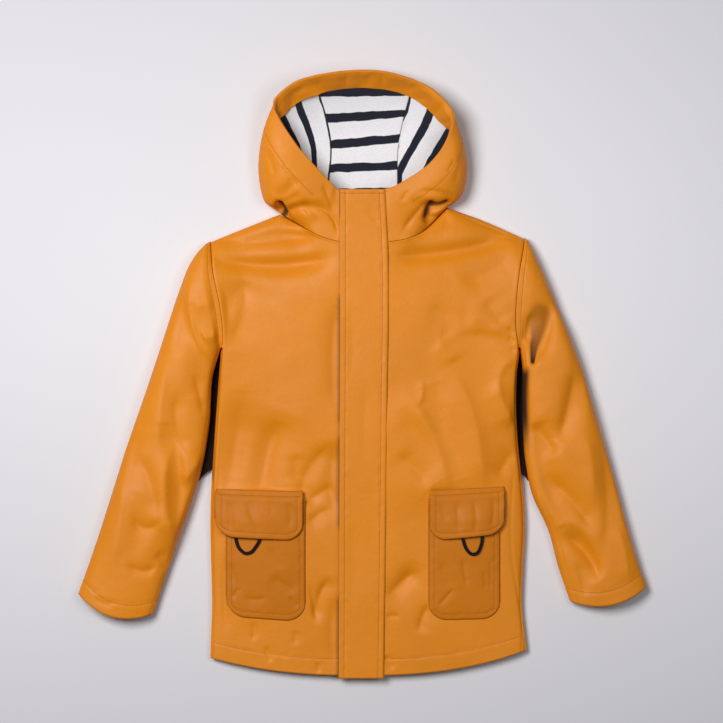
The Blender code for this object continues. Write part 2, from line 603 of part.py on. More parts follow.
def pocket_lift(patch, x, y):
    """How far a pocket's outer face stands off the front."""
    u = np.clip((x - patch.inner_x) / (patch.outer_x - patch.inner_x), 0, 1)
    v = np.clip((patch.top_y - y) / (patch.top_y - patch.bottom_y), 0, 1)
    swell = np.sin(u * math.pi) ** 0.7 * np.sin((0.12 + 0.88 * v) * math.pi) ** 0.7
    return SEAM_GAP + WALL + POCKET_SWELL * swell


# ---------------------------------------------------------------- Blender objects
def plain_material(name, color, roughness):
    material = bpy.data.materials.new(name)
    material.use_nodes = True
    shader = material.node_tree.nodes["Principled BSDF"]
    shader.inputs["Base Color"].default_value = (*color, 1)
    shader.inputs["Roughness"].default_value = roughness
    shader.inputs["Metallic"].default_value = 0
    return material


def cloth(name, points, color=SHELL, thickness=WALL, closed=False):
    """Cloth of one piece: a grid of outer points, thickened away from its outer side."""
    rows, columns = points.shape[:2]
    bm = bmesh.new()
    bmesh.ops.create_grid(bm, x_segments=columns - 1, y_segments=rows - 1, size=0.5)
    for vert in bm.verts:
        i = round((vert.co.y + 0.5) * (rows - 1))
        j = round((vert.co.x + 0.5) * (columns - 1))
        vert.co = Vector(points[i, j]) * MM
    if closed:
        bmesh.ops.remove_doubles(bm, verts=bm.verts, dist=JOIN_DISTANCE)
    mesh = bpy.data.meshes.new(name)
    bm.to_mesh(mesh)
    bm.free()
    mesh.shade_smooth()
    mesh.materials.append(plain_material(name, color, 0.5))
    piece = bpy.data.objects.new(name, mesh)
    GARMENT.objects.link(piece)
    wall = piece.modifiers.new("Wall", "SOLIDIFY")
    wall.thickness = thickness * MM
    wall.offset = -1


def cord(name, path):
    """A round cord along a path, with filled ends."""
    curve = bpy.data.curves.new(name, "CURVE")
    curve.dimensions = "3D"
    curve.bevel_depth = LOOP_DIAMETER / 2 * MM
    curve.bevel_resolution = 2
    curve.use_fill_caps = True
    spline = curve.splines.new("POLY")
    spline.points.add(len(path) - 1)
    for point, place in zip(spline.points, path):
        point.co = (*(Vector(place) * MM), 1)
    curve.materials.append(plain_material(name, BLACK, 0.7))
    GARMENT.objects.link(bpy.data.objects.new(name, curve))


# ---------------------------------------------------------------- pieces
def make_body():
    cloth("front_right", front_points(-1))
    cloth("front_left", front_points(1)[:, ::-1])
    cloth("back", back_points()[:, ::-1])


def make_sleeves():
    right = sleeve_points(-1, SLEEVE_AROUND, SLEEVE_STATIONS)
    cloth("sleeve_right", right[:, ::-1], closed=True)
    cloth("sleeve_left", sleeve_points(1, SLEEVE_AROUND, SLEEVE_STATIONS), closed=True)


def make_hood():
    """Shell panels, and under them the lining and, along the brim, the facing."""
    steps = blocks(*HOOD_STEPS)
    outer, ends = hood_grid(steps, CROWN_SHARES, HOOD_BAND, HOOD_REST)
    panels = np.split(outer, ends[:-1])
    normals = np.concatenate([surface_normals(panel) for panel in panels])
    inner = outer - normals * (WALL + SEAM_GAP)
    inner[..., 2] = np.maximum(inner[..., 2], WALL + SEAM_GAP)
    skip = int(np.sum(steps < 1))
    split = HOOD_REST + len(HOOD_BAND) - 1 - HOOD_BAND.index(FACING_WIDTH)

    short = NECK_SHORT * ease(BACK_NECK_ROW - steps)
    short = np.concatenate([short, 0 * CROWN_SHARES, short[::-1]])[:, None]
    lining = inner[:, :split + 1].copy()
    seams = [ends[0] - 1, ends[0], ends[1] - 1, ends[1]]
    lining[seams, :, 0] = outer[seams, :split + 1, 0]
    lining[:, -1] += (lining[:, -2] - lining[:, -1]) * FACING_SHORT
    lining[:, 0] += (lining[:, 1] - lining[:, 0]) * short

    for name, panel in zip(("hood_side_right", "hood_centre", "hood_side_left"), panels):
        cloth(name, panel)
    cloth("hood_lining_right", lining[skip:ends[0]], JERSEY, LINING_WALL)
    cloth("hood_lining_centre", lining[ends[0]:ends[1]], JERSEY, LINING_WALL)
    cloth("hood_lining_left", lining[ends[1]:ends[2] - skip], JERSEY, LINING_WALL)
    facing = [inner[skip:ends[0]], inner[ends[0] + 1:ends[1] - 1], inner[ends[1]:ends[2] - skip]]
    cloth("hood_facing", np.concatenate(facing)[:, split:], SHELL, LINING_WALL)


def make_closure():
    """The storm flap over the zip, which joins the two fronts and the hood's front."""
    y, share = np.meshgrid(np.linspace(HEM_Y - FLAP_PAST_HEM, FLAP_TOP, 27),
                           np.linspace(0, 1, 5), indexing="ij")
    free = table_curve(FLAP_EDGE, "y", "free_x", y)
    sewn = table_curve(FLAP_EDGE, "y", "sewn_x", y)
    x = free + (sewn - free) * share
    cloth("storm_flap", lifted(x, y, SEAM_GAP + FLAP_WALL), SHELL, FLAP_WALL)
    middle = (ZIP_RIGHT_X + ZIP_LEFT_X) / 2
    y, x = np.meshgrid(np.linspace(HEM_Y + 12, FLAP_TOP - 3, 17),
                       middle + np.linspace(-0.5, 0.5, 3) * ZIP_WIDTH, indexing="ij")
    cloth("zip", lifted(x, y, -(WALL + 2 * SEAM_GAP)), SHELL, ZIP_WALL)


def make_pockets():
    for side, tag in ((-1, "right"), (1, "left")):
        pocket, flap = POCKETS[tag], FLAPS[tag]
        u, v, x, y = patch_grid(pocket, 11, 12)
        cloth("pocket_" + tag, lifted(x, y, pocket_lift(pocket, x, y))[:, ::-side])

        route = np.array(LOOP_ROUTES[tag], dtype=float)
        loop_u = (route[:, 0].mean() - flap.inner_x) / (flap.outer_x - flap.inner_x)
        u, v, x, y = patch_grid(flap, 8, 13)
        stand = ease((v - STAND_FROM) / STAND_RUN) * np.exp(-((u - loop_u) / LOOP_SPREAD) ** 2)
        lift = SEAM_GAP + FLAP_WALL + FLAP_RISE * ease(v / FLAP_RISE_SHARE) + FLAP_STAND * stand
        cloth("pocket_flap_" + tag, lifted(x, y, lift)[:, ::-side], SHELL, FLAP_WALL)

        path = smooth(np.arange(len(route)), route, np.linspace(0, len(route) - 1, 17))
        lift = pocket_lift(pocket, path[:, 0], path[:, 1]) + SEAM_GAP + LOOP_DIAMETER / 2
        cord("pull_loop_" + tag, lifted(path[:, 0], path[:, 1], lift))


for old in list(bpy.data.objects):
    bpy.data.objects.remove(old, do_unlink=True)
GARMENT = bpy.data.collections.new("kids_raincoat")
bpy.context.scene.collection.children.link(GARMENT)

make_body()
make_sleeves()
make_hood()
make_closure()
make_pockets()
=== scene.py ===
"""Looks of a child's hooded raincoat that lies flat on its back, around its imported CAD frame.

The frame is in metres; the sizes and tables below are in millimetres, with +X to the
wearer's left, +Y towards the hood and +Z up.  side is -1 for the wearer's right and 1 for
the left.  Every cut piece is a fine grid of points on its outer face, with its creases,
seams and hems worked in, that Solidify makes into cloth.
"""
import json
import math
from collections import namedtuple

import bpy
import numpy as np
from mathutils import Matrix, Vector

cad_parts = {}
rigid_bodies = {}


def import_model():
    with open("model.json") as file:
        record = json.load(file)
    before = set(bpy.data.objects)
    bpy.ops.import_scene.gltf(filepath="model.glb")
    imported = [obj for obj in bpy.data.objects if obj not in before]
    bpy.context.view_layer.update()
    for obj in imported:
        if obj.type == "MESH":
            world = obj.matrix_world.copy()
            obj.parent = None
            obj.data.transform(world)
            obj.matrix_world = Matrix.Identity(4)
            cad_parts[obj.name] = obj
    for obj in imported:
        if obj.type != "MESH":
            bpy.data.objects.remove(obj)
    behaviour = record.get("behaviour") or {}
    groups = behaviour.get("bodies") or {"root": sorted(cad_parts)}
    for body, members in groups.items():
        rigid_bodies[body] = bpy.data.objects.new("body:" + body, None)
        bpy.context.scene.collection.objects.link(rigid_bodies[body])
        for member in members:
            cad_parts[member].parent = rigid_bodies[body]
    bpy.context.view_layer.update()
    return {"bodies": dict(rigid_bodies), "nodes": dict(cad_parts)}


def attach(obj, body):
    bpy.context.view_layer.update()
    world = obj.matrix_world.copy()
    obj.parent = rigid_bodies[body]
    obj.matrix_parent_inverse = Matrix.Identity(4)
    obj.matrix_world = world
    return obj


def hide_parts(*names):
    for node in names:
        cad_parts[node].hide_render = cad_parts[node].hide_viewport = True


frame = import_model()

MM = 0.001
TINY = 1e-9
SIDES = ((-1, "right"), (1, "left"))

# ---------------------------------------------------------------- driving sizes
WALL = 1.5              # coated shell cloth
LINING_WALL = 1.0       # jersey lining
FLAP_WALL = 2.0         # two layers, turned and stitched
SEAM_GAP = 0.3          # between two pieces that are sewn together

EDGE_RADIUS = 9.0       # half height of the soft fold at the sides
EDGE_DROP = 1.0         # the back's curled rim stays this far under the front's
EDGE_INSET = 0.2        # the fronts' sides lie this far inside the outline
SHOULDER_RADIUS = 11.0  # half height of the fold along the shoulders
SHOULDER_REACH = 62.0   # the front falls to the shoulder over this length
CROWN = 0.5             # how square the front's section is, 1 is an ellipse
FOLD_FADE = 26.0        # folds rise to full height over this, away from the storm flap
FOLD_SIDE_SHARE = 0.06  # and over this share of the half width from the sides
FOLD_TOP_FADE = 12.0    # and over this from the top
FOLD_FLAP_GAP = 4.0     # and they end this far beside the storm flap
SIDE_SEAM_DEEP = 0.8    # depth of the seam that shows on the front

UNDERARM_Y = 34.6
ARMHOLE_HEIGHT = 33.0
EDGE_FADE = 70.0        # the armhole's height eases into the front over this
FLANK_END = -130.0      # the body's side stands up from here to the armhole
FLANK_TUCK = 0.6        # it turns down this far all along,
FLANK_BULGE = 2.6       # and below the armhole swells out by this
FLANK_COLUMNS = 8
FRONT_ROWS = 262        # rows of a front's grid, below the shoulder
COLUMN_FROM, COLUMN_STEP = 9.4, 1.9     # its even columns, from the side
# Its closer columns along the side, and closer rows under the neck and shoulder.
RIM_COLUMNS = [0, 0.03, 0.12, 0.3, 0.6, 1.0, 1.6, 2.4, 3.4, 4.6, 6.0, 7.6]
NECK_ROWS = [9, 7.8, 6.6, 5.5, 4.5, 3.6, 2.7, 1.9, 1.2, 0.7, 0.35, 0.12, 0]
BACK_ROWS, BACK_RIM = 150, 9            # rows of the back's grid, and steps of its rim,
BACK_SIDE, BACK_MIDDLE = 22, 26         # and its columns beside and under the neck
BACK_FLAT = (10.0, 14.0)    # its creases start this far from the side and from the top,
BACK_FADE = 14.0        # and grow over this
CORNER_REACH = 27.0     # the neck's corner is rounded off over this, each way,
CORNER_DEPTH = 22.0     # in the part of the front that lies this far below it
SLEEVE_CROWN = 0.62     # how square a sleeve's section is
CAP_REACH = 2.2         # rows of the table over which a sleeve leaves the armhole
CAP_STAND = -0.2        # a little less than the seam gap, so that the edges meet
CAP_PLAIN, CAP_FADE = 5.0, 14.0     # creases start this far down it, and grow over this
FOLD_ROUND, CREASE_WRAP = 1.4, 1.8  # how soon folds and creases rise from its edges
# Columns of its grid: over the top, along the lip and beneath, and its rows.
SLEEVE_COLUMNS = (78, 15, 36)
SLEEVE_ROWS = [2, 7, 11, 16, 20, 20, 25, 30, 27, 23, 20, 19]

LIP_END = -142.0        # where the lips at the foot of the sleeves' inner edges end
LIP_RISE = -72.0        # below this they rise from their low line
LIP_LOW = 2.0
LIP_REACH = 24.0        # how far they reach towards the body,
LIP_RUN = 44.0          # growing to it over this, up from their end
LIP_ROUND, LIP_BACK, LIP_FADE = 2.2, 16.0, 12.0     # where under the sleeve they start
LIP_TURN = 0.4          # radians of a sleeve's ring that are finer, for the lip
SLIT_DARK = 13.0        # a sleeve gets painted shade below this height beside the body,
SLIT_WIDE = 30.0        # within this from the body's side,
SIDE_DARK, SIDE_WIDE = 16.0, 3.5    # and so is the body, beside the sleeve
SLIT_ROLL = {-1: 0, 1: 20}  # how far over the sleeve the painted shade beside its slit reaches,
ROLL_TOP, ROLL_FOOT = 14.0, -110.0  # between these heights,
ROLL_DARK = 0.95        # and how dark that painted shade is

FACING_WIDTH = 30.0
CASING_FROM = {-1: -30, 1: 40}      # its seam dents the shell from here outwards,
CASING_FADE = {-1: 22, 1: 20}       # growing over this,
CASING_LEFT = 0.5       # and less on the left
SHELL_STITCHES = 62.0   # thread shows this far beside the middle,
SHELL_STITCHES_Y = 330.0    # or above this height
HOOD_STATIONS = ([0, 1, 4, 6, 10], [16, 48, 30, 64])    # breaks and counts of its grid
CROWN_COLUMNS = 61
BAND_STEP, BAND_END, AFTER_STEP, REST_STEPS = 1.5, 58, 2, 40    # its rows from the brim
ZIP_X = {-1: 8.0, 1: 20.0}  # zip-side edges of the two fronts
FLAP_HALF = 32.0        # the storm flap lies within this of the middle line
FLAP_TOP = 237.0
FLAP_PAST_HEM = 3.5
FLAP_TOP_STITCH = 5.0   # distance of the row along the storm flap's top
FLAP_SINK = 1.2         # how far its dips go down
FLAP_SHADOW, SHADOW_WIDE = 0.5, 3.0     # the painted shadow on the front under its free edge
FLAP_RIM_DARK = 0.9     # and the painted shade on its own cut edge
# Columns of its grid, in sixtieths of its width, closer at its edges.
FLAP_COLUMNS = [0, 0.4, 1, 1.8, *np.arange(3, 57, 1.6), 57.2, 58.2, 59, 59.6, 60]
LOOP_DIAMETER = 4.2

HEM_DEPTH = 21.0        # turned hems of the body, and of the cuffs
CUFF_DEPTH = 19.0
HEM_RISE = 0.4          # a turned hem or cuff lies this much higher,
STORM_RISE = 0.35       # and the storm flap's turned edge this much
SEAM_PRESS, SEAM_HALF = 0.45, 1.6   # depth and half width of a sleeve's underarm seam
STITCH_PITCH = 3.2
STITCH_LENGTH = 2.5
STITCH_HALF = 0.42      # half width of the thread
STITCH_HIGH = 0.45
STITCH_LIFT = 0.15      # share of its height that a stitch stands off
GROOVE_HALF = 1.3       # half width of the hollow that a row of stitches pulls in
GROOVE_DEEP = 0.55
EDGE_TURN = 1.6         # patches and the storm flap turn down over this, at their edges
TOPSTITCH = 7.6         # distance of the second row from a seam or an edge
TOP_ROW = 7.0           # distance of the row along a pocket flap's top
STRIPE_SHARE = 0.335    # navy share of the pitch
STRIPE_BLUR = 0.012
# Heights of the centre panel's stripes, at its two seams.
STRIPES = {-1: (395, 362, 330, 295, 265.6, 233, 200), 1: (395, 362, 336, 304, 268.8, 236, 200)}
UNDERARM_SHARE = {-1: 0.968, 1: 0.912}  # where a sleeve's seam lies, from outer to inner edge

# Height of the random waves in the cloth of each part.
CRUMPLE = {"front": 0.55, "back": 0.5, "sleeve": 0.8, "sleeve_back": 0.6, "hood": 0.6,
           "storm_flap": 0.35, "pocket": 0.45}
# Crinkles of the gathered facing: height, size and seed of each.
CRINKLE_BASE, CRINKLE_FINE, CRINKLE_BROAD = 0.45, (2.4, 15, 12), (3.6, 34, 13)
CRINKLE_RIM = 0.2       # share of the facing's width in which they end at the brim

NAVY = (0.009, 0.012, 0.024)
DEEP_SHADE = (0.012, 0.003, 0.001)
CAMERA_HIGH = 5.0       # metres, over the middle of the view
CAMERA_AIM_HIGH = 0.02  # the frame's width is true at this height
CAMERA_X, CAMERA_Y = -0.0013, 0.0173
FRAME_WIDTH = 0.9254
SENSOR = 36.0
FLOOR_HALF = 6.0


# ---------------------------------------------------------------- tables
def listed(kind, numbers):
    """A table of rows of one kind."""
    return [kind(*row) for row in numbers]


# Sections of the body: its sides and the height of its front.
Body = namedtuple("Body", "y right_x left_x height")
BODY = listed(Body, [
    (-390, -192.8, 209.5, 15.5),
    (-358, -192.6, 208, 17),
    (-288, -190.5, 201.8, 20.5),
    (-250, -191.5, 203, 22),
    (-186, -192.6, 205.4, 25),
    (-134, -191, 201.8, 27.5),
    (-82, -187.5, 196.5, 30),
    (-35, -184, 194.5, 32),
    (4, -181, 195.5, 33.5),
    (34.6, -178.8, 198.6, 34.5),
    (64, -179.2, 195.5, 35.5),
    (96, -183.7, 196.4, 36.5),
    (128, -190.6, 199.8, 37),
    (172, -194.5, 207, 37.5),
    (240, -198, 210, 40),
])

# The front neck seam and the shoulders, from the wearer's right to the left.
Plan = namedtuple("Plan", "x y")
FRONT_NECK = listed(Plan, [
    (-105.0, 206.0), (-79.0, 190.7), (-58.0, 179.2), (-29.0, 170.2), (8.0, 168.0),
    (32.6, 170.2), (61.0, 175.6), (78.0, 184.0), (95.0, 200.0), (108.0, 214.5)])
SHOULDER = {-1: listed(Plan, [(-194.5, 170.5), (-144.0, 190.7), (-105.0, 206.0)]),
            1: listed(Plan, [(108.0, 214.5), (150.0, 199.4), (207.0, 174.7)])}
BACK_NECK_DROP = 11.0   # depth of the back neck seam's dip
NECK_TURN = 16.0        # the shoulder's curled rim runs out along the back neck in this
NECK_FLAT = {-1: -52.0, 1: 54.0}    # between these the front does not fall towards the neck

# The hem rises from the middle to the sides.
HEM_Y = -385.0
HEM_SIDE_RISE = {-1: 21.0, 1: 25.0}
HEM_HALF = 190.0
HEM_POWER = 2.4

# Sections across a sleeve, from the armhole to the cuff.
Sleeve = namedtuple("Sleeve", "outer_x outer_y inner_x inner_y height bow")
SLEEVES = {-1: listed(Sleeve, [
    (-194.5, 170.5, -178.8, 34.6, 34, 0),
    (-197.5, 170.3, -181.4, 34, 34.2, 0),
    (-209, 160, -184.6, 24, 36, 0),
    (-223, 139, -188.5, 12, 37, 0),
    (-236, 105, -192, -1, 37.5, 0),
    (-250, 63, -193.8, -17, 37.5, 0),
    (-264, 20, -194.6, -36, 37, 0),
    (-281.5, -32, -196.5, -64, 36, 0),
    (-303, -94, -205, -116, 35, 1),
    (-321, -151, -220.5, -168, 33.5, 3),
    (-336.5, -200, -236.5, -214, 31.5, 6),
    (-350.5, -241, -252, -258, 29, 11),
    (-364, -280, -268.3, -306, 25, 17),
]), 1: listed(Sleeve, [
    (207, 174.7, 198.6, 34.6, 34, 0),
    (210, 174.3, 201.2, 34, 34.2, 0),
    (221.5, 153, 203.5, 21, 36, 0),
    (236, 120.5, 205, 8, 37, 0),
    (250, 88.5, 205.2, -7, 37.5, 0),
    (265, 52, 205.2, -25, 37.5, 0),
    (280, 12, 205.4, -45, 37, 0),
    (293, -31, 206, -72, 36, 0),
    (308, -82, 208.5, -108, 35, 1),
    (324, -138, 217.5, -153, 33.5, 3),
    (338, -190, 238.5, -200, 31.5, 5),
    (350.5, -232, 251, -246, 29, 9),
    (363.4, -272, 266.5, -290, 25, 14),
])}

# Sections of the hood's sides, from the zip along the brim towards the centre panel:
# points on the brim, the crest, the widest part and the turn under, then the seam.  The
# first two lie at the height of the front, and a last one is the centre panel's own.
Hood = namedtuple("Hood", "brim crest side under seam")
HOOD_SIDES = {-1: listed(Hood, [
    ((8, 236.5, 39.6), (8, 222, 39.2), (8, 205, 38.5), (8, 187, 37.8), (8, 168)),
    ((-29, 236.5, 39.3), (-30, 222, 38.9), (-31, 205, 38.2), (-30, 187, 37.6), (-29, 170)),
    ((-39, 244, 43), (-45, 228, 44), (-52, 210, 41), (-56, 195, 37), (-58, 179)),
    ((-59, 265, 47), (-70, 243, 49), (-80, 219, 44), (-83, 206, 34), (-80, 191)),
    ((-79, 287, 50), (-97, 258, 51), (-118, 219, 33), (-114, 213, 17), (-105, 206)),
    ((-95, 309, 51), (-115, 277, 47), (-130, 236, 21), (-121, 226, 3), (-80, 198)),
    ((-108, 329, 51), (-124, 303, 41), (-132.5, 272, 18), (-119, 260, 0), (-50, 196)),
    ((-113.5, 342, 49), (-119, 333, 41), (-122, 316, 22), (-112, 301, 5), (-43, 237)),
    ((-110, 355, 47), (-104, 347, 35), (-92, 333, 19), (-70, 308, 4), (-40, 263)),
    ((-86, 374, 46), (-80, 364.5, 33), (-69, 348, 17), (-53, 322, 4), (-48, 284)),
]), 1: listed(Hood, [
    ((20, 236.5, 39.6), (20, 222, 39.2), (20, 205, 38.5), (20, 187, 37.8), (20, 169)),
    ((31, 238, 39.3), (31, 223, 38.9), (32, 205, 38.2), (32, 187, 37.6), (32.6, 170)),
    ((45.5, 243.5, 43), (50, 228, 44), (56, 210, 41), (60, 193, 37), (61, 175.6)),
    ((78.5, 264, 47), (86, 242, 49), (91, 219, 43), (88, 205, 32), (80, 186)),
    ((97, 283, 49), (109, 254, 48), (118, 224, 32), (115, 218, 18), (108, 214.5)),
    ((107, 299, 50.5), (122, 268, 45), (129.5, 234, 21), (119, 230, 3), (80, 204)),
    ((113, 314, 51), (126, 292, 41), (133.5, 262, 18), (119, 255, 0), (48, 197)),
    ((117, 330, 50), (121, 319, 39), (125, 300, 19), (112, 288, 3), (45, 237)),
    ((110.5, 344, 48), (105, 336.5, 36), (94, 322, 20), (73, 300, 4.5), (46.5, 262)),
    ((89, 365, 47), (82, 356, 34), (70, 341, 18), (57, 317, 4), (54, 282)),
])}
HOOD_FRONT_ROWS, SHOULDER_ROW, BACK_NECK_ROW = 2, 4, 6

# The hood's centre panel: its seams, its brim, and how far inside the brim its flaring
# wall stands at each height, down to where it turns onto the surface.
CENTRE_SEAM = {
    -1: listed(Plan, [(-50, 196), (-43, 250), (-40, 295), (-48, 338), (-55, 362), (-57.5, 392)]),
    1: listed(Plan, [(48, 197), (45, 250), (46.5, 297), (54, 335), (60, 358), (63, 392)])}
CROWN_BRIM = listed(Plan, [(-57, 383), (-30, 387), (0, 389), (20, 388.2), (40, 384.8), (62, 378.3)])
Wall = namedtuple("Wall", "inside z")
CROWN_WALL = listed(Wall, [(0, 46), (10, 33), (30, 16.5), (60, 4)])
CROWN_FLOOR = 78.0      # the centre panel lies flat from this far inside its brim
SEAM_FLAT = 8.0         # and each side lies flat for this far before it joins the centre

# Large soft folds: from start to end, how far the line bows to its left, half widths to
# its left and right, and height, negative for a trough.
Fold = namedtuple("Fold", "x0 y0 x1 y1 bow left right height")
BODY_FOLDS = listed(Fold, [
    (-196, 146, -24, 151, -8, 9, 14, -4.5),
    (-150, 172, -62, 176, 5, 7, 10, -3.5),
    (36, 151, 186, 174, -6, 14, 9, -4.5),
    (100, 50, 196, 42, 8, 16, 16, -4.5),
    (-150, 120, -176, 60, -8, 12, 18, -4),
    (-150, -20, -165, -130, -6, 14, 18, -3),
    (-105, -60, -125, -145, -8, 12, 16, -3),
    (44, -45, 98, -135, 8, 12, 18, -3.5),
    (92, -10, 132, -130, -10, 12, 20, -3.5),
    (38, -290, 74, -242, 4, 14, 10, -3),
])
SLEEVE_FOLDS = listed(Fold, [
    (-224, 92, -214, -30, 12, 12, 16, -5),
    (-252, -60, -242, -190, 12, 8, 16, -6),
    (-290, 0, -318, -120, -6, 12, 14, -3),
    (-285, -150, -300, -240, 8, 12, 14, -2.5),
    (226, -60, 262, -190, -10, 16, 10, -5.5),
    (256, -190, 300, -262, 8, 9, 16, -5.5),
    (283, 20, 252, -86, 6, 14, 12, -3.5),
    (318, -110, 340, -250, -6, 12, 14, -2.5),
])
HOOD_FOLDS = listed(Fold, [
    (-104, 208, -46, 213, 5, 5, 8, -5),
    (-84, 250, -112, 228, 5, 6, 8, -3),
    (62, 222, 118, 224, -8, 6, 8, -4),
])
HOOD_FOLD_FLOOR = 22.0  # the hood's folds fade out downwards above this height
HOOD_FOLD_FADE = 10.0

# Edges of the storm flap: free on the wearer's right, sewn on the left.
Edge = namedtuple("Edge", "y free_x sewn_x")
FLAP_EDGE = listed(Edge, [(-390, -31.5, 27.0), (-160, -30.5, 30.0), (-32, -30.0, 31.4),
                        (160, -29.6, 32.4), (240, -29.6, 28.5)])

# Patch pockets and their flaps, as plan outlines on the front: edges, top and bottom, how
# far both drop towards the inner and the outer edge, and the corner radius.
Patch = namedtuple("Patch", "inner_x outer_x top_y bottom_y inner_drop outer_drop radius")
POCKETS = {-1: Patch(-73.0, -175.0, -156.0, -309.0, 7.0, 0.0, 26.0),
           1: Patch(84.0, 176.0, -155.0, -309.0, 5.0, 3.0, 24.0)}
FLAPS = {-1: Patch(-76.0, -187.0, -145.5, -206.0, 6.0, 0.0, 24.0),
         1: Patch(86.0, 181.0, -144.5, -207.0, 5.0, -4.5, 22.0)}
POCKET_SWELL = 2.6      # height of a pocket's middle over its stitched rim
FLAP_RISE = 4.4         # how far a flap climbs onto its pocket's top edge
FLAP_RISE_SHARE = 0.22  # share of the flap's length in which it climbs
FLAP_STAND = 5.2        # how much more it stands off over the pull loop
STAND_FROM, STAND_RUN = 0.2, 0.5    # where along the flap this stand grows
LOOP_SPREAD = 0.36      # share of the flap's width that it reaches
PATCH_STEP = 1.5        # size of a patch's cells
PATCH_FADE = 6.0        # the front's creases fade out over this, under a patch
PATCH_EDGE, FLAP_EDGE_DROP = 0.6, 0.8   # how far the edges of patch and flap turn down
STORM_EDGE_DROP = 1.1   # and the storm flap's sewn edge

# Route of each pull loop, in plan, from under the flap and back.
LOOP_ROUTES = {
    -1: [(-161, -196), (-162, -203), (-161, -212), (-157.5, -221), (-150, -227.5),
         (-142, -226), (-136, -219), (-131.5, -211), (-131, -203), (-132, -197)],
    1: [(127, -197), (127, -204), (129, -213), (132.5, -222), (139, -228.5),
        (146.5, -227), (150.5, -219.5), (152.5, -211), (152.5, -203), (151.5, -196)]}

# Creases of the cloth: start, middle and end of the line where it is in shade, half width
# of the wall that turns from the light and of the one that faces it, and height, negative
# for a trough.
LIGHT_SIDE = (-0.8, 0.6)
CREASE_SIDE, CREASE_TOP = 7.0, 5.0  # the front's fade out over these from side and top,
CREASE_FROM, CREASE_FADE = 22.0, 8.0    # and from here towards the storm flap
CREASE_END = 0.3        # share of its length in which a crease rises
CREASE_ROUND = 0.3      # how round its top is
CREASE_STEEP = 1.3
Crease = namedtuple("Crease", "x0 y0 xm ym x1 y1 shade light height")
PHOTO_PIXEL = 1.28      # millimetres of cloth that a pixel of the photo covers
PHOTO_X, PHOTO_Y = 362.5, 375.0     # the pixel where the frame's origin lies
BOLD = 1.1              # creases placed at least this high are widened too


def from_photo(numbers, height_gain, shade_gain=1, light_gain=1):
    """Creases in millimetres, from rows placed in the photo's pixels.

    The gains strengthen them; only bold ones are widened.
    """
    creases = []
    for row in listed(Crease, numbers):
        route = []
        for x, y in ((row.x0, row.y0), (row.xm, row.ym), (row.x1, row.y1)):
            route += [round((x - PHOTO_X) * PHOTO_PIXEL), round((PHOTO_Y - y) * PHOTO_PIXEL)]
        shade, light = row.shade, row.light
        if abs(row.height) >= BOLD:
            shade, light = round(shade * shade_gain, 1), round(light * light_gain, 1)
        creases.append(Crease(*route, shade, light, round(row.height * height_gain, 2)))
    return creases


FRONT_CREASES = from_photo([
    (214, 244, 270, 242.5, 330, 233, 7, 12, -2.6),
    (200, 257, 262, 266, 352, 253, 10, 9, -2.6),
    (244, 268, 245, 300, 228, 352, 10, 14, -2.6),
    (248, 396, 237, 446, 222, 512, 14, 16, -2.8),
    (282, 408, 268, 452, 256, 516, 14, 16, -2.8),
    (338, 441, 310, 468, 300, 512, 7, 11, -2.2),
    (296, 452, 295.5, 468, 297, 484, 6, 5, -1.1),
    (336, 485, 316, 496, 304, 505, 5, 6, -1.5),
    (334, 508, 315, 517, 306, 527, 4, 6, -1.4),
    (332, 575, 322, 590, 317, 626, 3.5, 6, -1.9),
    (309, 582, 313, 604, 316, 626, 2.5, 4, -1.0),
    (252.5, 620, 254, 632, 252.5, 642, 3, 4, -0.8),
    (294, 630, 295, 638, 294, 646, 3, 4, -0.8),
    (265, 646, 268, 655, 271, 663, 3, 4, -0.9),
    (317, 662, 318, 669, 317, 674, 3, 4, -0.8),
    (374, 257, 440, 253.5, 524, 231, 7, 12, -2.8),
    (456, 283, 490, 272, 517, 252, 11, 11, -2.0),
    (425, 306, 452, 316, 478, 318, 10, 12, -1.2),
    (441, 341, 476, 328, 514, 338, 10, 14, 2.4),
    (441.5, 336, 446, 354, 459, 361, 8, 8, 1.2),
    (485, 297, 493, 312, 504.5, 326, 7, 8, -1.3),
    (399, 384, 429, 431, 449, 506, 9, 24, 2.6),
    (446, 360, 474, 424, 480, 506, 11, 24, 3.0),
    (393, 454, 410, 464, 429, 489, 6, 8, -1.6),
    (420, 378, 421.5, 395, 416, 408, 5, 7, 0.9),
    (516, 355, 500, 374, 500, 398, 5, 6, 1.2),
    (496, 378, 502, 402, 517, 428, 6, 12, 2.0),
    (513, 448, 505, 464, 496, 480, 8, 5, -1.6),
    (423, 570, 399, 584, 387, 603, 6, 9, -2.2),
    (401, 617, 392, 616, 385, 617.5, 2.5, 3.5, -0.8),
    (429, 602, 422, 619, 418, 635, 3, 5, -1.4),
    (385, 655, 389, 663, 393, 671, 2.5, 4, -0.9),
    (452, 211, 481, 224.2, 512, 235.5, 1.4, 3, -0.7),
    (508, 326, 512, 332, 519, 334, 2, 3, -0.8),
    (508, 336, 513, 341, 519, 342, 2, 3, -0.8),
    (509, 347, 513, 350, 518, 350, 2, 3, -0.6),
    (226, 540, 224, 580, 226, 640, 4, 6, -1.0),
    (205, 560, 209, 600, 214, 640, 4, 6, -0.8),
    (341, 290, 333, 350, 338, 420, 7, 12, -2.0),
    (339, 436, 331, 480, 338, 526, 7, 12, -2.0),
    (338, 590, 332, 640, 338, 676, 6, 10, -1.6),
], 2.15, 1.5, 1.9)
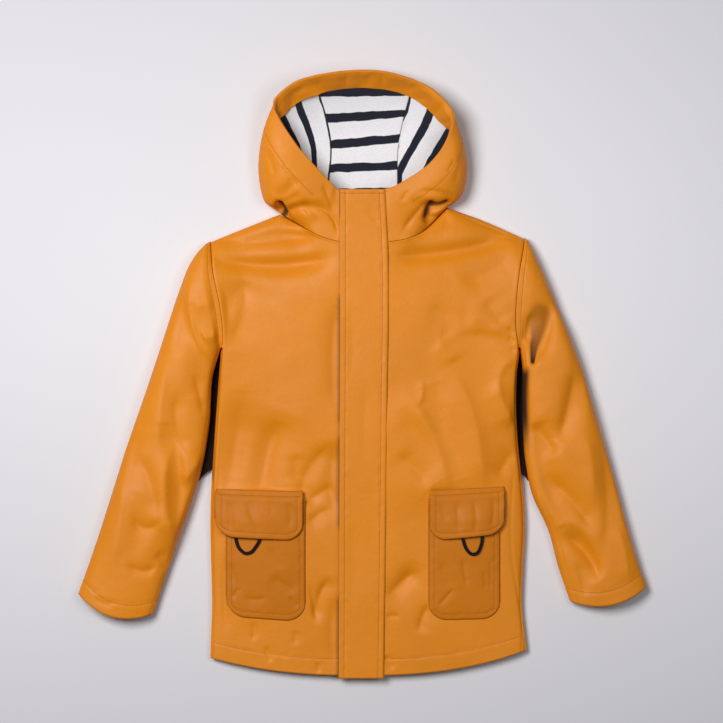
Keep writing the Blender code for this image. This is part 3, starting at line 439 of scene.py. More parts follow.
SLEEVE_CREASES = from_photo([
    (190, 272, 193, 325, 216, 368, 10, 4, 2.8),
    (192, 309, 204, 305, 219, 305, 8, 8, 1.5),
    (199, 335, 209, 337.5, 220, 328, 9, 6, 2.6),
    (183, 281, 184, 320, 175, 360, 10, 14, -2.0),
    (178, 388, 177, 424, 192, 460, 7, 8, -2.2),
    (194, 372, 200, 395, 204, 419, 4, 6, -1.4),
    (175, 436, 165, 492, 181, 556, 9, 14, 3.6),
    (208, 455, 195, 467, 181, 486, 6, 10, 2.2),
    (138, 452, 151, 484, 157, 522, 8, 9, -2.4),
    (129, 516, 147, 528, 165, 519, 7, 5, -1.8),
    (156, 551, 164, 563, 170, 572, 5, 6, -1.6),
    (125, 562, 142, 571, 159, 566, 6, 4, -1.8),
    (122, 466, 120, 515, 110, 578, 9, 12, 1.6),
    (93, 596, 104, 602, 117, 604, 2, 3, -0.9),
    (168, 352, 161, 405, 158, 462, 8, 14, 2.0),
    (150, 400, 138, 440, 130, 490, 9, 11, -1.4),
    (551, 298, 546, 332, 534, 366, 9, 9, -4.2),
    (533, 312, 528, 330, 524, 345, 5, 6, -3.0),
    (575, 365, 568, 405, 557, 448, 9, 8, -3.2),
    (529, 422, 545, 440, 557, 457, 8, 8, -3.0),
    (542, 474, 566, 494, 596, 536, 8, 10, -3.2),
    (560, 533, 583, 549, 601, 583, 7, 8, -3.2),
    (598, 425, 606, 495, 603, 564, 9, 9, -1.8),
    (552, 300, 565, 335, 572, 368, 8, 12, 1.6),
    (585, 430, 592, 470, 594, 505, 7, 9, 1.4),
    (575, 560, 582, 580, 586, 600, 4, 6, -1.3),
    (615, 520, 624, 550, 629, 585, 5, 7, 1.2),
], 1.9, 1.3, 1.6)
HOOD_CREASES = from_photo([
    (417, 192, 440, 193, 459, 201, 2.5, 4, -1.4),
    (432, 197, 414, 216, 400, 236, 3, 5, -1.6),
    (401, 203, 405, 196, 409, 190, 2, 3, -0.8),
    (455, 159, 451, 167, 446, 174, 2.5, 4, -0.9),
    (281, 167, 284, 172, 287.5, 177, 1.6, 2.5, -0.8),
    (287, 173, 290, 178, 293.5, 183, 1.6, 2.5, -0.8),
    (292, 179, 295, 184, 298, 188, 1.6, 2.5, -0.7),
    (273, 206, 288, 201, 303, 193, 5, 7, -2.0),
    (284, 215, 298, 207, 315, 205.5, 4, 6, -1.8),
    (313, 205.5, 329, 214, 338, 238, 3, 6, -1.8),
    (323, 182, 328, 198, 336, 215, 4, 5, -1.2),
    (266, 150, 272, 165, 276, 180, 4, 6, -1.0),
    (462, 150, 458, 172, 452, 188, 4, 6, -1.0),
    (300, 205, 310, 215, 316, 232, 3, 5, -1.0),
], 1.9)
POCKET_CREASES = from_photo([
    (270, 574, 284, 584, 297, 593, 7, 9, -1.5),
    (243, 597, 256, 599, 268, 597, 3, 5, -1.0),
    (231, 560, 234, 578, 240, 592, 4, 6, -1.0),
    (268, 545, 276, 560, 284, 570, 4, 6, -0.8),
    (231, 600, 236, 592, 241, 586, 1.6, 3, -1.2),
    (288, 596, 293, 602, 299, 608, 1.6, 3, -1.2),
    (462, 556, 464, 572, 467, 589, 3, 5, -1.2),
    (481, 570, 484, 580, 485, 591, 2.5, 4, -0.9),
    (440, 560, 446, 578, 452, 590, 4, 6, -0.9),
    (455, 587, 446, 597, 437, 607, 1.6, 3, -1.2),
    (489, 556, 491, 575, 488, 596, 3, 5, -0.8),
], 1.3)
FLAP_CREASES = from_photo([
    (229, 499, 231, 515, 231, 532, 5, 5, -1.3),
    (246, 500, 253, 518, 262, 537, 4, 5, -1.3),
    (286, 500, 290, 512, 289, 530, 4, 5, -1.2),
    (270, 499, 272, 508, 271, 516, 3, 4, -0.6),
    (457, 500, 457, 515, 459, 535, 4, 5, -1.3),
    (473, 498, 475, 515, 474, 536, 4, 5, -1.3),
    (492, 494, 493, 510, 490, 530, 4, 5, -1.2),
    (440, 503, 442, 512, 446, 522, 3, 4, -0.7),
], 1.3)
PLACKET_CREASES = from_photo([
    (366, 209, 372, 217, 380, 225, 1.8, 2.6, -0.7),
    (368, 205, 374, 211, 380, 216, 1.6, 2.4, -0.5),
    (349, 300, 352, 340, 350, 380, 6, 8, -0.6),
    (368, 380, 364, 420, 367, 470, 6, 8, -0.6),
    (350, 520, 354, 560, 351, 600, 6, 8, -0.6),
], 1.4)

# Shallow creases on the underside, as heights off the surface.
BACK_CREASES = listed(Crease, [
    (-140, -40, -90, -60, -60, -120, 9, 14, 1.6),
    (60, 60, 100, 20, 150, 10, 8, 14, 1.4),
    (-120, 110, -60, 96, 10, 104, 7, 12, 1.3),
    (30, -160, 80, -190, 150, -180, 8, 14, 1.5),
    (-60, -240, -20, -280, -10, -340, 7, 12, 1.2),
    (120, -260, 140, -300, 130, -345, 6, 10, 1.1),
])
SLEEVE_BACK_CREASES = listed(Crease, [
    (-230, 60, -224, 0, -240, -60, 9, 12, 1.6),
    (-250, -90, -280, -120, -310, -120, 7, 10, 1.5),
    (-262, -170, -290, -195, -325, -190, 6, 10, 1.3),
    (240, 50, 232, -10, 246, -70, 9, 12, 1.6),
    (258, -100, 285, -130, 312, -128, 7, 10, 1.5),
    (270, -190, 300, -214, 330, -210, 6, 10, 1.2),
])

# Seam at the wearer's left side, where the back turns a little onto the front.
SIDE_SEAM = listed(Plan, [(204.2, -319), (200.3, -288), (197.3, -270), (191.9, -237),
                        (192.6, -122)])

# Dents: start and end, half width at each, depth, and painted shade at each.  The hood's lie
# over the ends of the neck seam, and the sleeve's in its upper part.
DENT_DARK, DENT_BLUR = 0.75, 0.3    # share of the half width that is painted dark, and its blur
DENT_FLOOR, DENT_FADE = 8.0, 10.0   # dents fade out downwards above this height
Dent = namedtuple("Dent", "x0 y0 x1 y1 radius tip depth shade foot")
HOOD_DENTS = listed(Dent, [(-106.5, 216, -100, 205, 4.5, 4.5, 13, 0.9, 0.9),
                         (88, 213, 86, 201, 6.5, 6.5, 14, 0.7, 0.7),
                         (92, 212, 108, 219, 3.5, 3.5, 7, 0.75, 0.75)])
SLEEVE_DENTS = {-1: [], 1: listed(Dent, [(227, 77, 216, 17, 22, 5, 5, 0.3, 0.97)])}

# Where the first two stripes of each side lining lie, from the centre seam.
Pair = namedtuple("Pair", "y first second")
SIDE_STRIPES = {
    -1: listed(Pair, [(266, 20.6, 36), (289, 23.5, 42), (312, 27, 50), (337, 31.5, 59)]),
    1: listed(Pair, [(257, 1.0, 33), (284, 14.2, 48), (312, 26.7, 62), (337, 33, 68)])}
SEAM_STRIPE = 0.09      # share of a pitch that the right lining's first stripe has at the seam

# How dark the painted shadow under the storm flap's free edge is, from the hem up.
Shade = namedtuple("Shade", "y shade")
FLAP_SHADE = listed(Shade, [
    (-383, 0.8), (-289, 0.8), (-280, 0.3), (-200, 0.3), (-190, 0.8), (-81, 0.8), (-75, 0.4),
    (-62, 0.4), (-57, 0.8), (96, 0.8), (106, 0.25), (195, 0.25), (205, 0.8), (237, 0.8)])

# What a piece was cut from: width, length and area of what shows, in metres.
Cut = namedtuple("Cut", "width length area")


# ---------------------------------------------------------------- curves
def column(table, name):
    return np.array([getattr(row, name) for row in table], dtype=float)


def smooth(keys, values, t):
    """Values at t of a smooth curve through the rows of a table."""
    keys, values, t = np.asarray(keys, float), np.asarray(values, float), np.asarray(t, float)
    t = np.clip(t, keys[0], keys[-1])
    i = np.clip(np.searchsorted(keys, t, side="right") - 1, 0, len(keys) - 2)
    rise = np.gradient(values, keys, axis=0)
    h = keys[i + 1] - keys[i]
    f = (t - keys[i]) / h
    shape = f.shape + (1,) * (values.ndim - 1)
    f, h = f.reshape(shape), h.reshape(shape)
    return ((1 + 2 * f) * (1 - f) ** 2 * values[i] + f * (1 - f) ** 2 * h * rise[i]
            + f * f * (3 - 2 * f) * values[i + 1] - f * f * (1 - f) * h * rise[i + 1])


def table_curve(table, key, name, t):
    return smooth(column(table, key), column(table, name), t)


def ease(t):
    t = np.clip(t, 0, 1)
    return t * t * (3 - 2 * t)


def curl(distance, radius):
    """Height of the underside at a distance in from a rounded edge."""
    inside = np.clip(radius - distance, 0, radius)
    return radius - np.sqrt(radius ** 2 - inside ** 2)


def blocks(breaks, counts):
    """Even steps between each pair of breaks, without repeats."""
    runs = [np.linspace(a, b, n, endpoint=False)
            for a, b, n in zip(breaks[:-1], breaks[1:], counts)]
    return np.concatenate(runs + [[breaks[-1]]])


def xyz(x, y, z):
    return np.stack([x, y, z], axis=-1)


def unit(vectors):
    """Vectors scaled to a length of 1."""
    return vectors / np.maximum(np.linalg.norm(vectors, axis=-1, keepdims=True), TINY)


def surface_normals(points):
    """Unit normals of a grid of points."""
    return unit(np.cross(np.gradient(points, axis=1), np.gradient(points, axis=0)))


def arc(points):
    """Distance of each point along its column from the first row."""
    steps = np.linalg.norm(np.diff(points, axis=0), axis=-1)
    return np.concatenate([0 * steps[:1], np.cumsum(steps, axis=0)])


def between(places, keys, points):
    """Points at places between their keys, by straight steps."""
    return np.stack([np.interp(places, keys, points[:, k]) for k in range(3)], axis=-1)


def slopes(height, x, y):
    """How fast a height rises along x and along y."""
    step = 0.5
    return ((height(x + step, y) - height(x - step, y)) / (2 * step),
            (height(x, y + step) - height(x, y - step)) / (2 * step))


# ---------------------------------------------------------------- folds, creases, wrinkles
def beside(row, x, y):
    """Direction of a row's line, and share along it and distance to its left of points."""
    run = np.array([row.x1 - row.x0, row.y1 - row.y0], dtype=float)
    length = math.hypot(*run)
    run = run / length
    share = ((x - row.x0) * run[0] + (y - row.y0) * run[1]) / length
    return run, share, (y - row.y0) * run[0] - (x - row.x0) * run[1]


def relief(folds, x, y):
    """Height that a table of soft folds adds at points of the plan."""
    total = np.zeros(np.broadcast(x, y).shape)
    for fold in folds:
        _, share, across = beside(fold, x, y)
        across = across - fold.bow * 4 * share * (1 - share)
        width = np.where(across > 0, fold.left, fold.right)
        taper = np.sin(np.clip(share, 0, 1) * math.pi) ** 0.7
        total = total + fold.height * taper * np.exp(-(across / width) ** 2)
    return total


def creased(creases, x, y):
    """Height that a table of creases adds at points of the plan."""
    total = np.zeros(np.broadcast(x, y).shape)
    for row in creases:
        run, share, across = beside(row, x, y)
        _, middle, off = beside(row, row.xm, row.ym)
        bow = off / (middle * (1 - middle))
        across = across - bow * share * (1 - share)
        lit = math.copysign(1, run[0] * LIGHT_SIDE[1] - run[1] * LIGHT_SIDE[0])
        wall = across * lit * -math.copysign(1, row.height)
        width = np.where(wall > 0, row.shade, row.light)
        taper = ease(share / CREASE_END) * ease((1 - share) / CREASE_END)
        away = np.sqrt((wall / width) ** 2 + CREASE_ROUND ** 2) - CREASE_ROUND
        total = total + row.height * taper * np.exp(-CREASE_STEEP * away)
    return total


def dented(dents, grid, normals, held):
    """A grid with its dents pushed in, and the painted shade inside them."""
    push, painted_shade = 0 * held, 0 * held
    for dent in dents:
        run = np.array([dent.x1 - dent.x0, dent.y1 - dent.y0])
        x, y = grid[..., 0] - dent.x0, grid[..., 1] - dent.y0
        share = np.clip((x * run[0] + y * run[1]) / (run @ run), 0, 1)
        radius = dent.radius + (dent.tip - dent.radius) * share
        off = np.hypot(x - run[0] * share, y - run[1] * share) / radius
        push = push + dent.depth * np.exp(-off ** 2) * held
        shade = dent.shade + (dent.foot - dent.shade) * share ** 1.5
        dark = ease((DENT_DARK - off) / DENT_BLUR) * (normals[..., 2] > -0.5)
        painted_shade = np.maximum(painted_shade, shade * dark)
    return grid - normals * push[..., None], painted_shade


def wrinkle(x, y, size, seed):
    """Smooth random height from -1 to 1, with features of about one size."""
    count = 64
    knots = np.random.default_rng(seed).uniform(-1, 1, (count, count))
    turn = 0.6 + seed
    u = (x * math.cos(turn) + y * math.sin(turn)) / size
    v = (y * math.cos(turn) - x * math.sin(turn)) / size
    i, j = np.floor(u).astype(int), np.floor(v).astype(int)
    fu, fv = ease(u - i), ease(v - j)

    def across(j):
        return knots[i % count, j % count] * (1 - fu) + knots[(i + 1) % count, j % count] * fu
    return across(j) * (1 - fv) + across(j + 1) * fv


def crumple(x, y, amount):
    """Shallow uneven waves, some of them pinched to ridges."""
    wave = wrinkle(x, y, 46, 1) + 0.5 * wrinkle(x, y, 21, 2)
    ridge = 0.5 - np.abs(wrinkle(x, y, 33, 3) + 0.3 * wrinkle(x, y, 14, 4))
    broad = wrinkle(x, y, 88, 5)
    return amount * (1.6 * broad + 0.8 * wave + 0.3 * ridge + 0.06 * wrinkle(x, y, 9, 6))


def sewn(distance, x, y):
    """A row of stitches pulls the cloth in, more here than there."""
    pull = 0.85 + 0.5 * wrinkle(x, y, 6, 7)
    swell = 0.28 * wrinkle(x, y, 7, 8) * np.exp(-(distance / 5) ** 2)
    return swell - GROOVE_DEEP * pull * np.exp(-(distance / GROOVE_HALF) ** 2)


# ---------------------------------------------------------------- body
def side_x(side, y):
    return table_curve(BODY, "y", "right_x" if side < 0 else "left_x", y)


def neck_x(side):
    return FRONT_NECK[0 if side < 0 else -1].x


def shoulder_tip_y(side):
    """Where the shoulder line meets the armhole."""
    return SHOULDER[side][0 if side < 0 else -1].y


def top_y(x):
    """Height of the front neck seam or, past it, of the shoulder line."""
    neck, right, left = (table_curve(table, "x", "y", x)
                         for table in (FRONT_NECK, SHOULDER[-1], SHOULDER[1]))
    return np.where(x < neck_x(-1), right, np.where(x > neck_x(1), left, neck))


def soft_top_y(x, y):
    """The same, with its corners at the neck rounded off for what lies further down."""
    edge = top_y(x)
    steps = np.linspace(-CORNER_REACH, CORNER_REACH, 7)
    even = sum(top_y(x + step) for step in steps) / len(steps)
    return edge + (even - edge) * ease((edge - y) / CORNER_DEPTH)


def back_neck_y(x):
    """Height of the back neck seam, a shallow dip between the two shoulders."""
    t = (x - neck_x(-1)) / (neck_x(1) - neck_x(-1))
    chord = FRONT_NECK[0].y + (FRONT_NECK[-1].y - FRONT_NECK[0].y) * t
    return chord - BACK_NECK_DROP * np.clip(4 * t * (1 - t), 0, 1) ** 0.6


def back_top_y(x):
    inside = (x > neck_x(-1)) & (x < neck_x(1))
    return np.where(inside, back_neck_y(x), top_y(x))


def hem_y(x):
    rise = np.where(x < 0, HEM_SIDE_RISE[-1], HEM_SIDE_RISE[1])
    return HEM_Y + rise * (np.abs(x) / HEM_HALF) ** HEM_POWER


def armhole_height(side, y):
    """Height of the front along the side: the fold's, the flank's, then the armhole's."""
    tip = shoulder_tip_y(side)
    middle = (tip + UNDERARM_Y) / 2
    a = np.clip((tip - y) / (tip - UNDERARM_Y), 0, 0.5)
    arch = (2 * np.sqrt(a * (1 - a))) ** SLEEVE_CROWN
    flank = ease((y - FLANK_END) / (middle - FLANK_END))
    return EDGE_RADIUS + (ARMHOLE_HEIGHT - EDGE_RADIUS) * np.where(y > middle, arch, flank)


def shoulder_share(x):
    """1 along the shoulders, falling to 0 towards the middle of the neck."""
    right, left = (ease((x - NECK_FLAT[side]) / (neck_x(side) - NECK_FLAT[side]))
                   for side in (-1, 1))
    return np.maximum(right, left)


def front_height(x, y):
    """Height of the front's outer face at points of the plan."""
    right, left = side_x(-1, y), side_x(1, y)
    middle, half = (left + right) / 2, (left - right) / 2
    across = np.clip((x - middle) / half, -1, 1)
    crown = np.sqrt(1 - across ** 2) ** CROWN
    edge = np.where(across < 0, armhole_height(-1, y), armhole_height(1, y))
    inside = np.minimum(x - right, left - x)
    edge = EDGE_RADIUS + (edge - EDGE_RADIUS) * ease(1 - inside / EDGE_FADE)
    height = edge + (table_curve(BODY, "y", "height", y) - edge) * crown
    depth = np.clip((soft_top_y(x, y) - y) / SHOULDER_REACH, 0, 1)
    fall = 1 - shoulder_share(x) * (1 - np.sqrt(1 - (1 - depth) ** 2))
    height = SHOULDER_RADIUS + (height - SHOULDER_RADIUS) * fall
    fade = ease((1 - np.abs(across)) / FOLD_SIDE_SHARE)
    fade = fade * ease(depth * SHOULDER_REACH / FOLD_TOP_FADE)
    fade = fade * ease((np.abs(x) - FLAP_HALF - FOLD_FLAP_GAP) / FOLD_FADE)
    return height + relief(BODY_FOLDS, x, y) * fade


def front_surface(x, y):
    """Height of the front's outer face with its creases, hem and wrinkles."""
    inside = np.minimum(x - side_x(-1, y), side_x(1, y) - x)
    fade = ease(inside / CREASE_SIDE) * ease((top_y(x) - y) / CREASE_TOP)
    fade = fade * ease((np.abs(x + 1) - CREASE_FROM) / CREASE_FADE)
    for patch in (*POCKETS.values(), *FLAPS.values()):
        fade = fade * (1 - patch_cover(patch, x, y))
    hem = y - hem_y(x)
    seam = x - table_curve(SIDE_SEAM, "y", "x", y)
    fold = ease((SIDE_SEAM[-1].y - y) / 20) * np.exp(-(seam / 1.5) ** 2)
    rise = (creased(FRONT_CREASES, x, y) + crumple(x, y, CRUMPLE["front"])) * fade
    z = front_height(x, y) - SIDE_SEAM_DEEP * fold + rise
    turned = sewn(hem - HEM_DEPTH, x, y) + HEM_RISE * ease((HEM_DEPTH - hem) / 2)
    return z + turned * ease(inside / 3)


def front_grid(side):
    """One front: columns from the side to the zip edge, rows from the hem to the neck."""
    zip_x, tip = ZIP_X[side], shoulder_tip_y(side)
    reach = abs(float(side_x(side, tip)) - zip_x)
    inset = np.concatenate([RIM_COLUMNS, np.arange(COLUMN_FROM, reach, COLUMN_STEP), [reach]])
    neck = (neck_x(side) - zip_x) / (float(side_x(side, tip)) - zip_x)
    share = np.sort(np.append(1 - inset / reach, neck))[::-1]

    def plan_x(y):
        return side_x(side, y) * share - side * EDGE_INSET * share + zip_x * (1 - share)
    high = top_y(plan_x(tip)) - SEAM_GAP
    low = hem_y(plan_x(HEM_Y))
    fall = np.concatenate([np.arange(SHOULDER_REACH, 10, -2), NECK_ROWS])
    up = np.linspace(0, 1, FRONT_ROWS)[:-1, None]
    y = np.concatenate([low + (high - SHOULDER_REACH - low) * up, high - fall[:, None]])
    x = plan_x(y)
    grid = xyz(x, y, front_surface(x, y))
    top = grid[:, 0]
    open_side = ease((UNDERARM_Y + 2 - top[:, 1]) / 8)
    low = top[:, 2] - FLANK_TUCK - np.maximum(top[:, 2] - EDGE_RADIUS - 0.1, 0) * open_side
    flank = []
    for share in np.linspace(0, 1, FLANK_COLUMNS + 1)[:-1]:
        bulge = FLANK_BULGE * math.sin(share * math.pi) * open_side
        flank.append(xyz(top[:, 0] + side * bulge, top[:, 1], low + (top[:, 2] - low) * share))
    grid = np.concatenate([np.stack(flank, axis=1), grid], axis=1)
    return grid if side < 0 else grid[:, ::-1]


def back_grid():
    """The back: flat, curled up at the sides and shoulders, with shallow creases below."""
    turn = EDGE_RADIUS * (1 - np.cos(np.linspace(0, math.pi / 2, BACK_RIM)))
    up = np.linspace(0, 1, BACK_ROWS)[:-1, None]
    middle = (NECK_FLAT[-1] + NECK_FLAT[1]) / 2
    halves = []
    for side in (-1, 1):
        edge_top = float(side_x(side, shoulder_tip_y(side)))
        reach = abs(edge_top - neck_x(side))
        inset = np.concatenate([turn, np.linspace(turn[-1], reach, BACK_SIDE)[1:]])
        top_x = np.concatenate([edge_top - side * inset,
                                np.linspace(neck_x(side), middle, BACK_MIDDLE)[1:]])
        high = back_top_y(top_x) - SEAM_GAP
        low = hem_y(top_x)
        y = np.concatenate([low + (high - turn[-1] - low) * up, high - turn[::-1, None]])
        edge = side_x(side, y)
        x = middle + (edge - middle) * (top_x - middle) / (edge_top - middle)
        x[:, :BACK_RIM] = edge[:, :BACK_RIM] - side * turn
        inward = np.hypot(edge - x, np.maximum(y - UNDERARM_Y, 0))
        outside = (x - neck_x(side)) * side >= 0
        keep = np.where(outside, 1, ease(1 - np.abs(x - neck_x(side)) / NECK_TURN))
        below_top = back_top_y(x) - y
        rim = np.maximum(curl(inward, EDGE_RADIUS), curl(below_top, SHOULDER_RADIUS) * keep)
        flat = ease((np.abs(edge - x) - BACK_FLAT[0]) / BACK_FADE)
        flat = flat * ease((below_top - BACK_FLAT[1]) / BACK_FADE)
        dent = creased(BACK_CREASES, x, y) + crumple(x, y, CRUMPLE["back"])
        dent = np.maximum(dent, 0) * flat
        z = np.maximum(rim - EDGE_DROP, 0) + dent - sewn(y - hem_y(x) - HEM_DEPTH, x, y) * flat
        half = xyz(x, y, np.maximum(z, 0))
        halves.append(half if side < 0 else half[:, ::-1][:, 1:])
    return np.concatenate(halves, axis=1)[:, ::-1]


# ---------------------------------------------------------------- sleeves
def sleeve_points(side, around, stations):
    """Closed rings of outer points of a sleeve, armhole to cuff."""
    table = SLEEVES[side]
    keys = np.arange(len(table))
    cos, sin = np.cos(around), np.sin(around)
    a = (1 - cos) / 2
    armhole_x = table[0].outer_x + (table[0].inner_x - table[0].outer_x) * a
    rings = []
    for s in stations:
        row = Sleeve(*[float(smooth(keys, column(table, name), s)) for name in Sleeve._fields])
        run = np.array([row.inner_x - row.outer_x, row.inner_y - row.outer_y])
        width = math.hypot(*run)
        out = np.array([-run[1], run[0]]) / width * side
        x = row.outer_x + run[0] * a + out[0] * row.bow * 4 * a * (1 - a)
        y = row.outer_y + run[1] * a + out[1] * row.bow * 4 * a * (1 - a)
        near = float(ease(1 - s / CAP_REACH))
        x = x + (side_x(side, y) - armhole_x + side * (SEAM_GAP + CAP_STAND)) * near
        arch = EDGE_RADIUS + (row.height - EDGE_RADIUS) * np.abs(sin) ** SLEEVE_CROWN
        arch = arch + relief(SLEEVE_FOLDS, x, y) * ease(np.abs(sin) * FOLD_ROUND) * (1 - near)
        top = front_height(side_x(side, y), y) * near + arch * (1 - near)
        under = curl(np.minimum(a, 1 - a) * width, EDGE_RADIUS)
        rings.append(xyz(x, y, np.where(sin >= -TINY, top, under)))
    return np.array(rings)


def with_lip(side, grid, around):
    """A sleeve's rings with a lip of cloth that closes the gap to the body, low down."""
    x, y, z = (grid[..., k] for k in range(3))
    inner = grid[:, np.argmin(np.abs(around - math.pi))]
    from_inner = np.hypot(x - inner[:, :1], y - inner[:, 1:2])
    below = around > math.pi + 1e-6
    out = ease(from_inner / LIP_ROUND) * ease((LIP_BACK - from_inner) / LIP_FADE) * below
    reach = np.maximum((side_x(side, y) - x) * -side - 0.4, 0)
    reach = np.minimum(reach, LIP_REACH * ease((y - LIP_END) / LIP_RUN))
    low = LIP_LOW + (EDGE_RADIUS - 2 - LIP_LOW) * ease((LIP_RISE - y) / 50)
    drop = np.where(out > 0, np.minimum(low * out, EDGE_RADIUS) - z, 0) * np.minimum(out * 3, 1)
    near = ease((y - LIP_END) / 12)
    return xyz(x - side * reach * out, y, z + drop * near * ease(reach / 3))


def sleeve_grid(side):
    """A sleeve's closed rings, with creases, the underarm seam and the turned cuff."""
    lip_end = math.pi + LIP_TURN
    over, along, beneath = SLEEVE_COLUMNS
    around = np.concatenate([np.linspace(0, math.pi, over),
                             np.linspace(math.pi, lip_end, along)[1:],
                             np.linspace(lip_end, 2 * math.pi, beneath)[1:]])
    stations = blocks(range(len(SLEEVES[side])), SLEEVE_ROWS)
    grid = sleeve_points(side, around, stations)
    x, y = grid[..., 0].copy(), grid[..., 1].copy()
    top = np.sin(around) > 0
    rise = creased(SLEEVE_CREASES, x, y) + crumple(x, y, CRUMPLE["sleeve"])
    under = creased(SLEEVE_BACK_CREASES, x, y) + crumple(x + 300, y, CRUMPLE["sleeve_back"])
    under = np.maximum(under, 0)
    edge = ease(np.abs(np.sin(around)) * CREASE_WRAP)
    down = ease((arc(grid) - CAP_PLAIN) / CAP_FADE)
    grid[..., 2] += np.where(top, rise, under) * edge * down
    grid = with_lip(side, grid, around)[:, ::side]
    normals = surface_normals(grid)
    x, y = grid[..., 0], grid[..., 1]
    run, back = arc(grid), arc(grid[::-1])[::-1]
    share = (1 - np.cos(around))[::side] / 2
    half = len(around) // 2
    width = np.linalg.norm(grid[:, :1] - grid[:, half:half + 1], axis=-1)
    seam = np.abs(share - UNDERARM_SHARE[side]) * width + np.where(top[::side], 0, 99)
    press = sewn(run - TOPSTITCH, x, y) + sewn(back - CUFF_DEPTH, x, y)
    press = press + HEM_RISE * ease((CUFF_DEPTH - back) / 2)
    press = press - SEAM_PRESS * np.exp(-(seam / SEAM_HALF) ** 2)
    return off_floor(grid + normals * press[..., None], normals)


def off_floor(grid, normals):
    """A grid with its upper face held a wall's thickness off the floor."""
    grid[..., 2] = np.maximum(grid[..., 2], (WALL + 0.1) * ease(normals[..., 2] * 4))
    return grid


# ---------------------------------------------------------------- hood
def centre_seam_x(side, y):
    return table_curve(CENTRE_SEAM[side], "y", "x", y)


def crown_edge(side):
    """Knots of the crown's wall along the seam at one side, and its brim's y."""
    end = CROWN_BRIM[0 if side < 0 else -1]
    brim = float(table_curve(CROWN_BRIM, "x", "y", centre_seam_x(side, end.y)))
    return [(float(centre_seam_x(side, brim - row.inside)) + side * SEAM_GAP,
             brim - row.inside, row.z) for row in CROWN_WALL], brim


def hood_seam(side, s):
    """Where a hood side ends: front neck seam, back neck seam, then the centre panel."""
    last = (0, crown_edge(side)[1] - CROWN_FLOOR - SEAM_FLAT)
    seam = np.array([row.seam for row in HOOD_SIDES[side]] + [last], dtype=float)
    keys = np.arange(len(seam))
    if s <= SHOULDER_ROW:
        x = float(np.clip(smooth(keys, seam[:, 0], s), neck_x(-1), neck_x(1)))
        y = float(top_y(x))
        return x, y + SEAM_GAP, float(front_height(x, y))
    if s <= BACK_NECK_ROW:
        share = (s - SHOULDER_ROW) / (BACK_NECK_ROW - SHOULDER_ROW)
        x = neck_x(side) + (seam[BACK_NECK_ROW, 0] + side * SEAM_GAP - neck_x(side)) * share
        rim = SHOULDER_RADIUS * float(ease(1 - abs(x - neck_x(side)) / NECK_TURN))
        return x, float(back_neck_y(x)) + SEAM_GAP, max(rim - EDGE_DROP, 0)
    y = float(np.interp(s, keys, seam[:, 1]))
    return float(centre_seam_x(side, y)) + side * SEAM_GAP, y, 0


def even_path(path, samples=80):
    """Smooth curve through a few points in space, evenly spaced, never below the floor."""
    path = np.array(path, dtype=float)
    chord = np.linalg.norm(np.diff(path, axis=0), axis=1)
    span = np.concatenate([[0], np.cumsum(chord ** 0.6)])
    fine = smooth(span, path, np.linspace(0, span[-1], 2 * samples))
    fine[:, 2] = np.maximum(fine[:, 2], 0)
    length = arc(fine)
    return between(np.linspace(0, length[-1], samples), length, fine), length[-1]


def hood_section(side, s):
    """Section of a hood side, from the brim round to its seam."""
    table = HOOD_SIDES[side]
    knots = np.array([[row.brim, row.crest, row.side, row.under] for row in table], dtype=float)
    on_front = knots[:HOOD_FRONT_ROWS]
    on_front[..., 2] = front_height(on_front[..., 0], on_front[..., 1])
    knots = np.concatenate([knots, [crown_edge(side)[0]]])
    path = smooth(np.arange(len(knots)), knots, s)
    seam = np.array(hood_seam(side, s))
    if s > BACK_NECK_ROW:
        flat = seam + (path[-1] - seam) * SEAM_FLAT / np.linalg.norm(path[-1] - seam)
        path = np.vstack([path, [flat[0], flat[1], 0]])
    points, length = even_path(np.vstack([path, seam]))
    if s == len(table):
        points[:, 0] = centre_seam_x(side, points[:, 1]) + side * SEAM_GAP
    return points, length


def crown_section(share):
    """Section of the centre panel: brim, down the crown, along the surface to the neck."""
    def place_x(y):
        right = centre_seam_x(-1, y) + SEAM_GAP
        return right + (centre_seam_x(1, y) - SEAM_GAP - right) * share
    brim = float(table_curve(CROWN_BRIM, "x", "y", place_x(CROWN_BRIM[0].y)))
    neck = float(back_neck_y(place_x(CENTRE_SEAM[-1][0].y))) + SEAM_GAP
    wall = [(0, brim - row.inside, row.z) for row in CROWN_WALL]
    floor = [(0, y, 0) for y in np.linspace(brim - CROWN_FLOOR, neck, 6)]
    points, length = even_path(wall + floor)
    points[:, 0] = place_x(points[:, 1])
    return points, length


def hood_grid(stations, shares, band):
    """Outer points of the whole hood, in columns from the neck and seams to the brim.

    band lists distances from the brim, and even steps follow them.
    Rows run along the brim: the right side, the centre panel, then the left side.
    Returns the grid and where each of the three ends."""
    sections = [hood_section(-1, s) for s in stations]
    sections += [crown_section(share) for share in shares]
    sections += [hood_section(1, s) for s in stations[::-1]]
    grid = []
    for points, length in sections:
        distances = np.concatenate([band, np.linspace(band[-1], length, REST_STEPS + 1)[1:]])
        steps = distances / length * (len(points) - 1)
        grid.append(between(steps, np.arange(len(points)), points))
    grid = np.array(grid)
    grid[..., 2] += relief(HOOD_FOLDS, grid[..., 0], grid[..., 1]) * hood_fade(grid[..., 2])
    return grid[:, ::-1], np.cumsum([len(stations), len(shares), len(stations)])


def hood_fade(z):
    """1 on top of the hood, 0 below the height where its folds have faded out."""
    return ease((z - HOOD_FOLD_FLOOR) / HOOD_FOLD_FADE)


# ---------------------------------------------------------------- patches and lines
def lifted(x, y, lift):
    """Points that stand off the front's outer face by a lift along its normal."""
    slope_x, slope_y = slopes(front_height, x, y)
    scale = lift / np.sqrt(1 + slope_x ** 2 + slope_y ** 2)
    return xyz(x - slope_x * scale, y - slope_y * scale, front_height(x, y) + scale)


def patch_size(patch):
    return abs(patch.outer_x - patch.inner_x), patch.top_y - patch.bottom_y


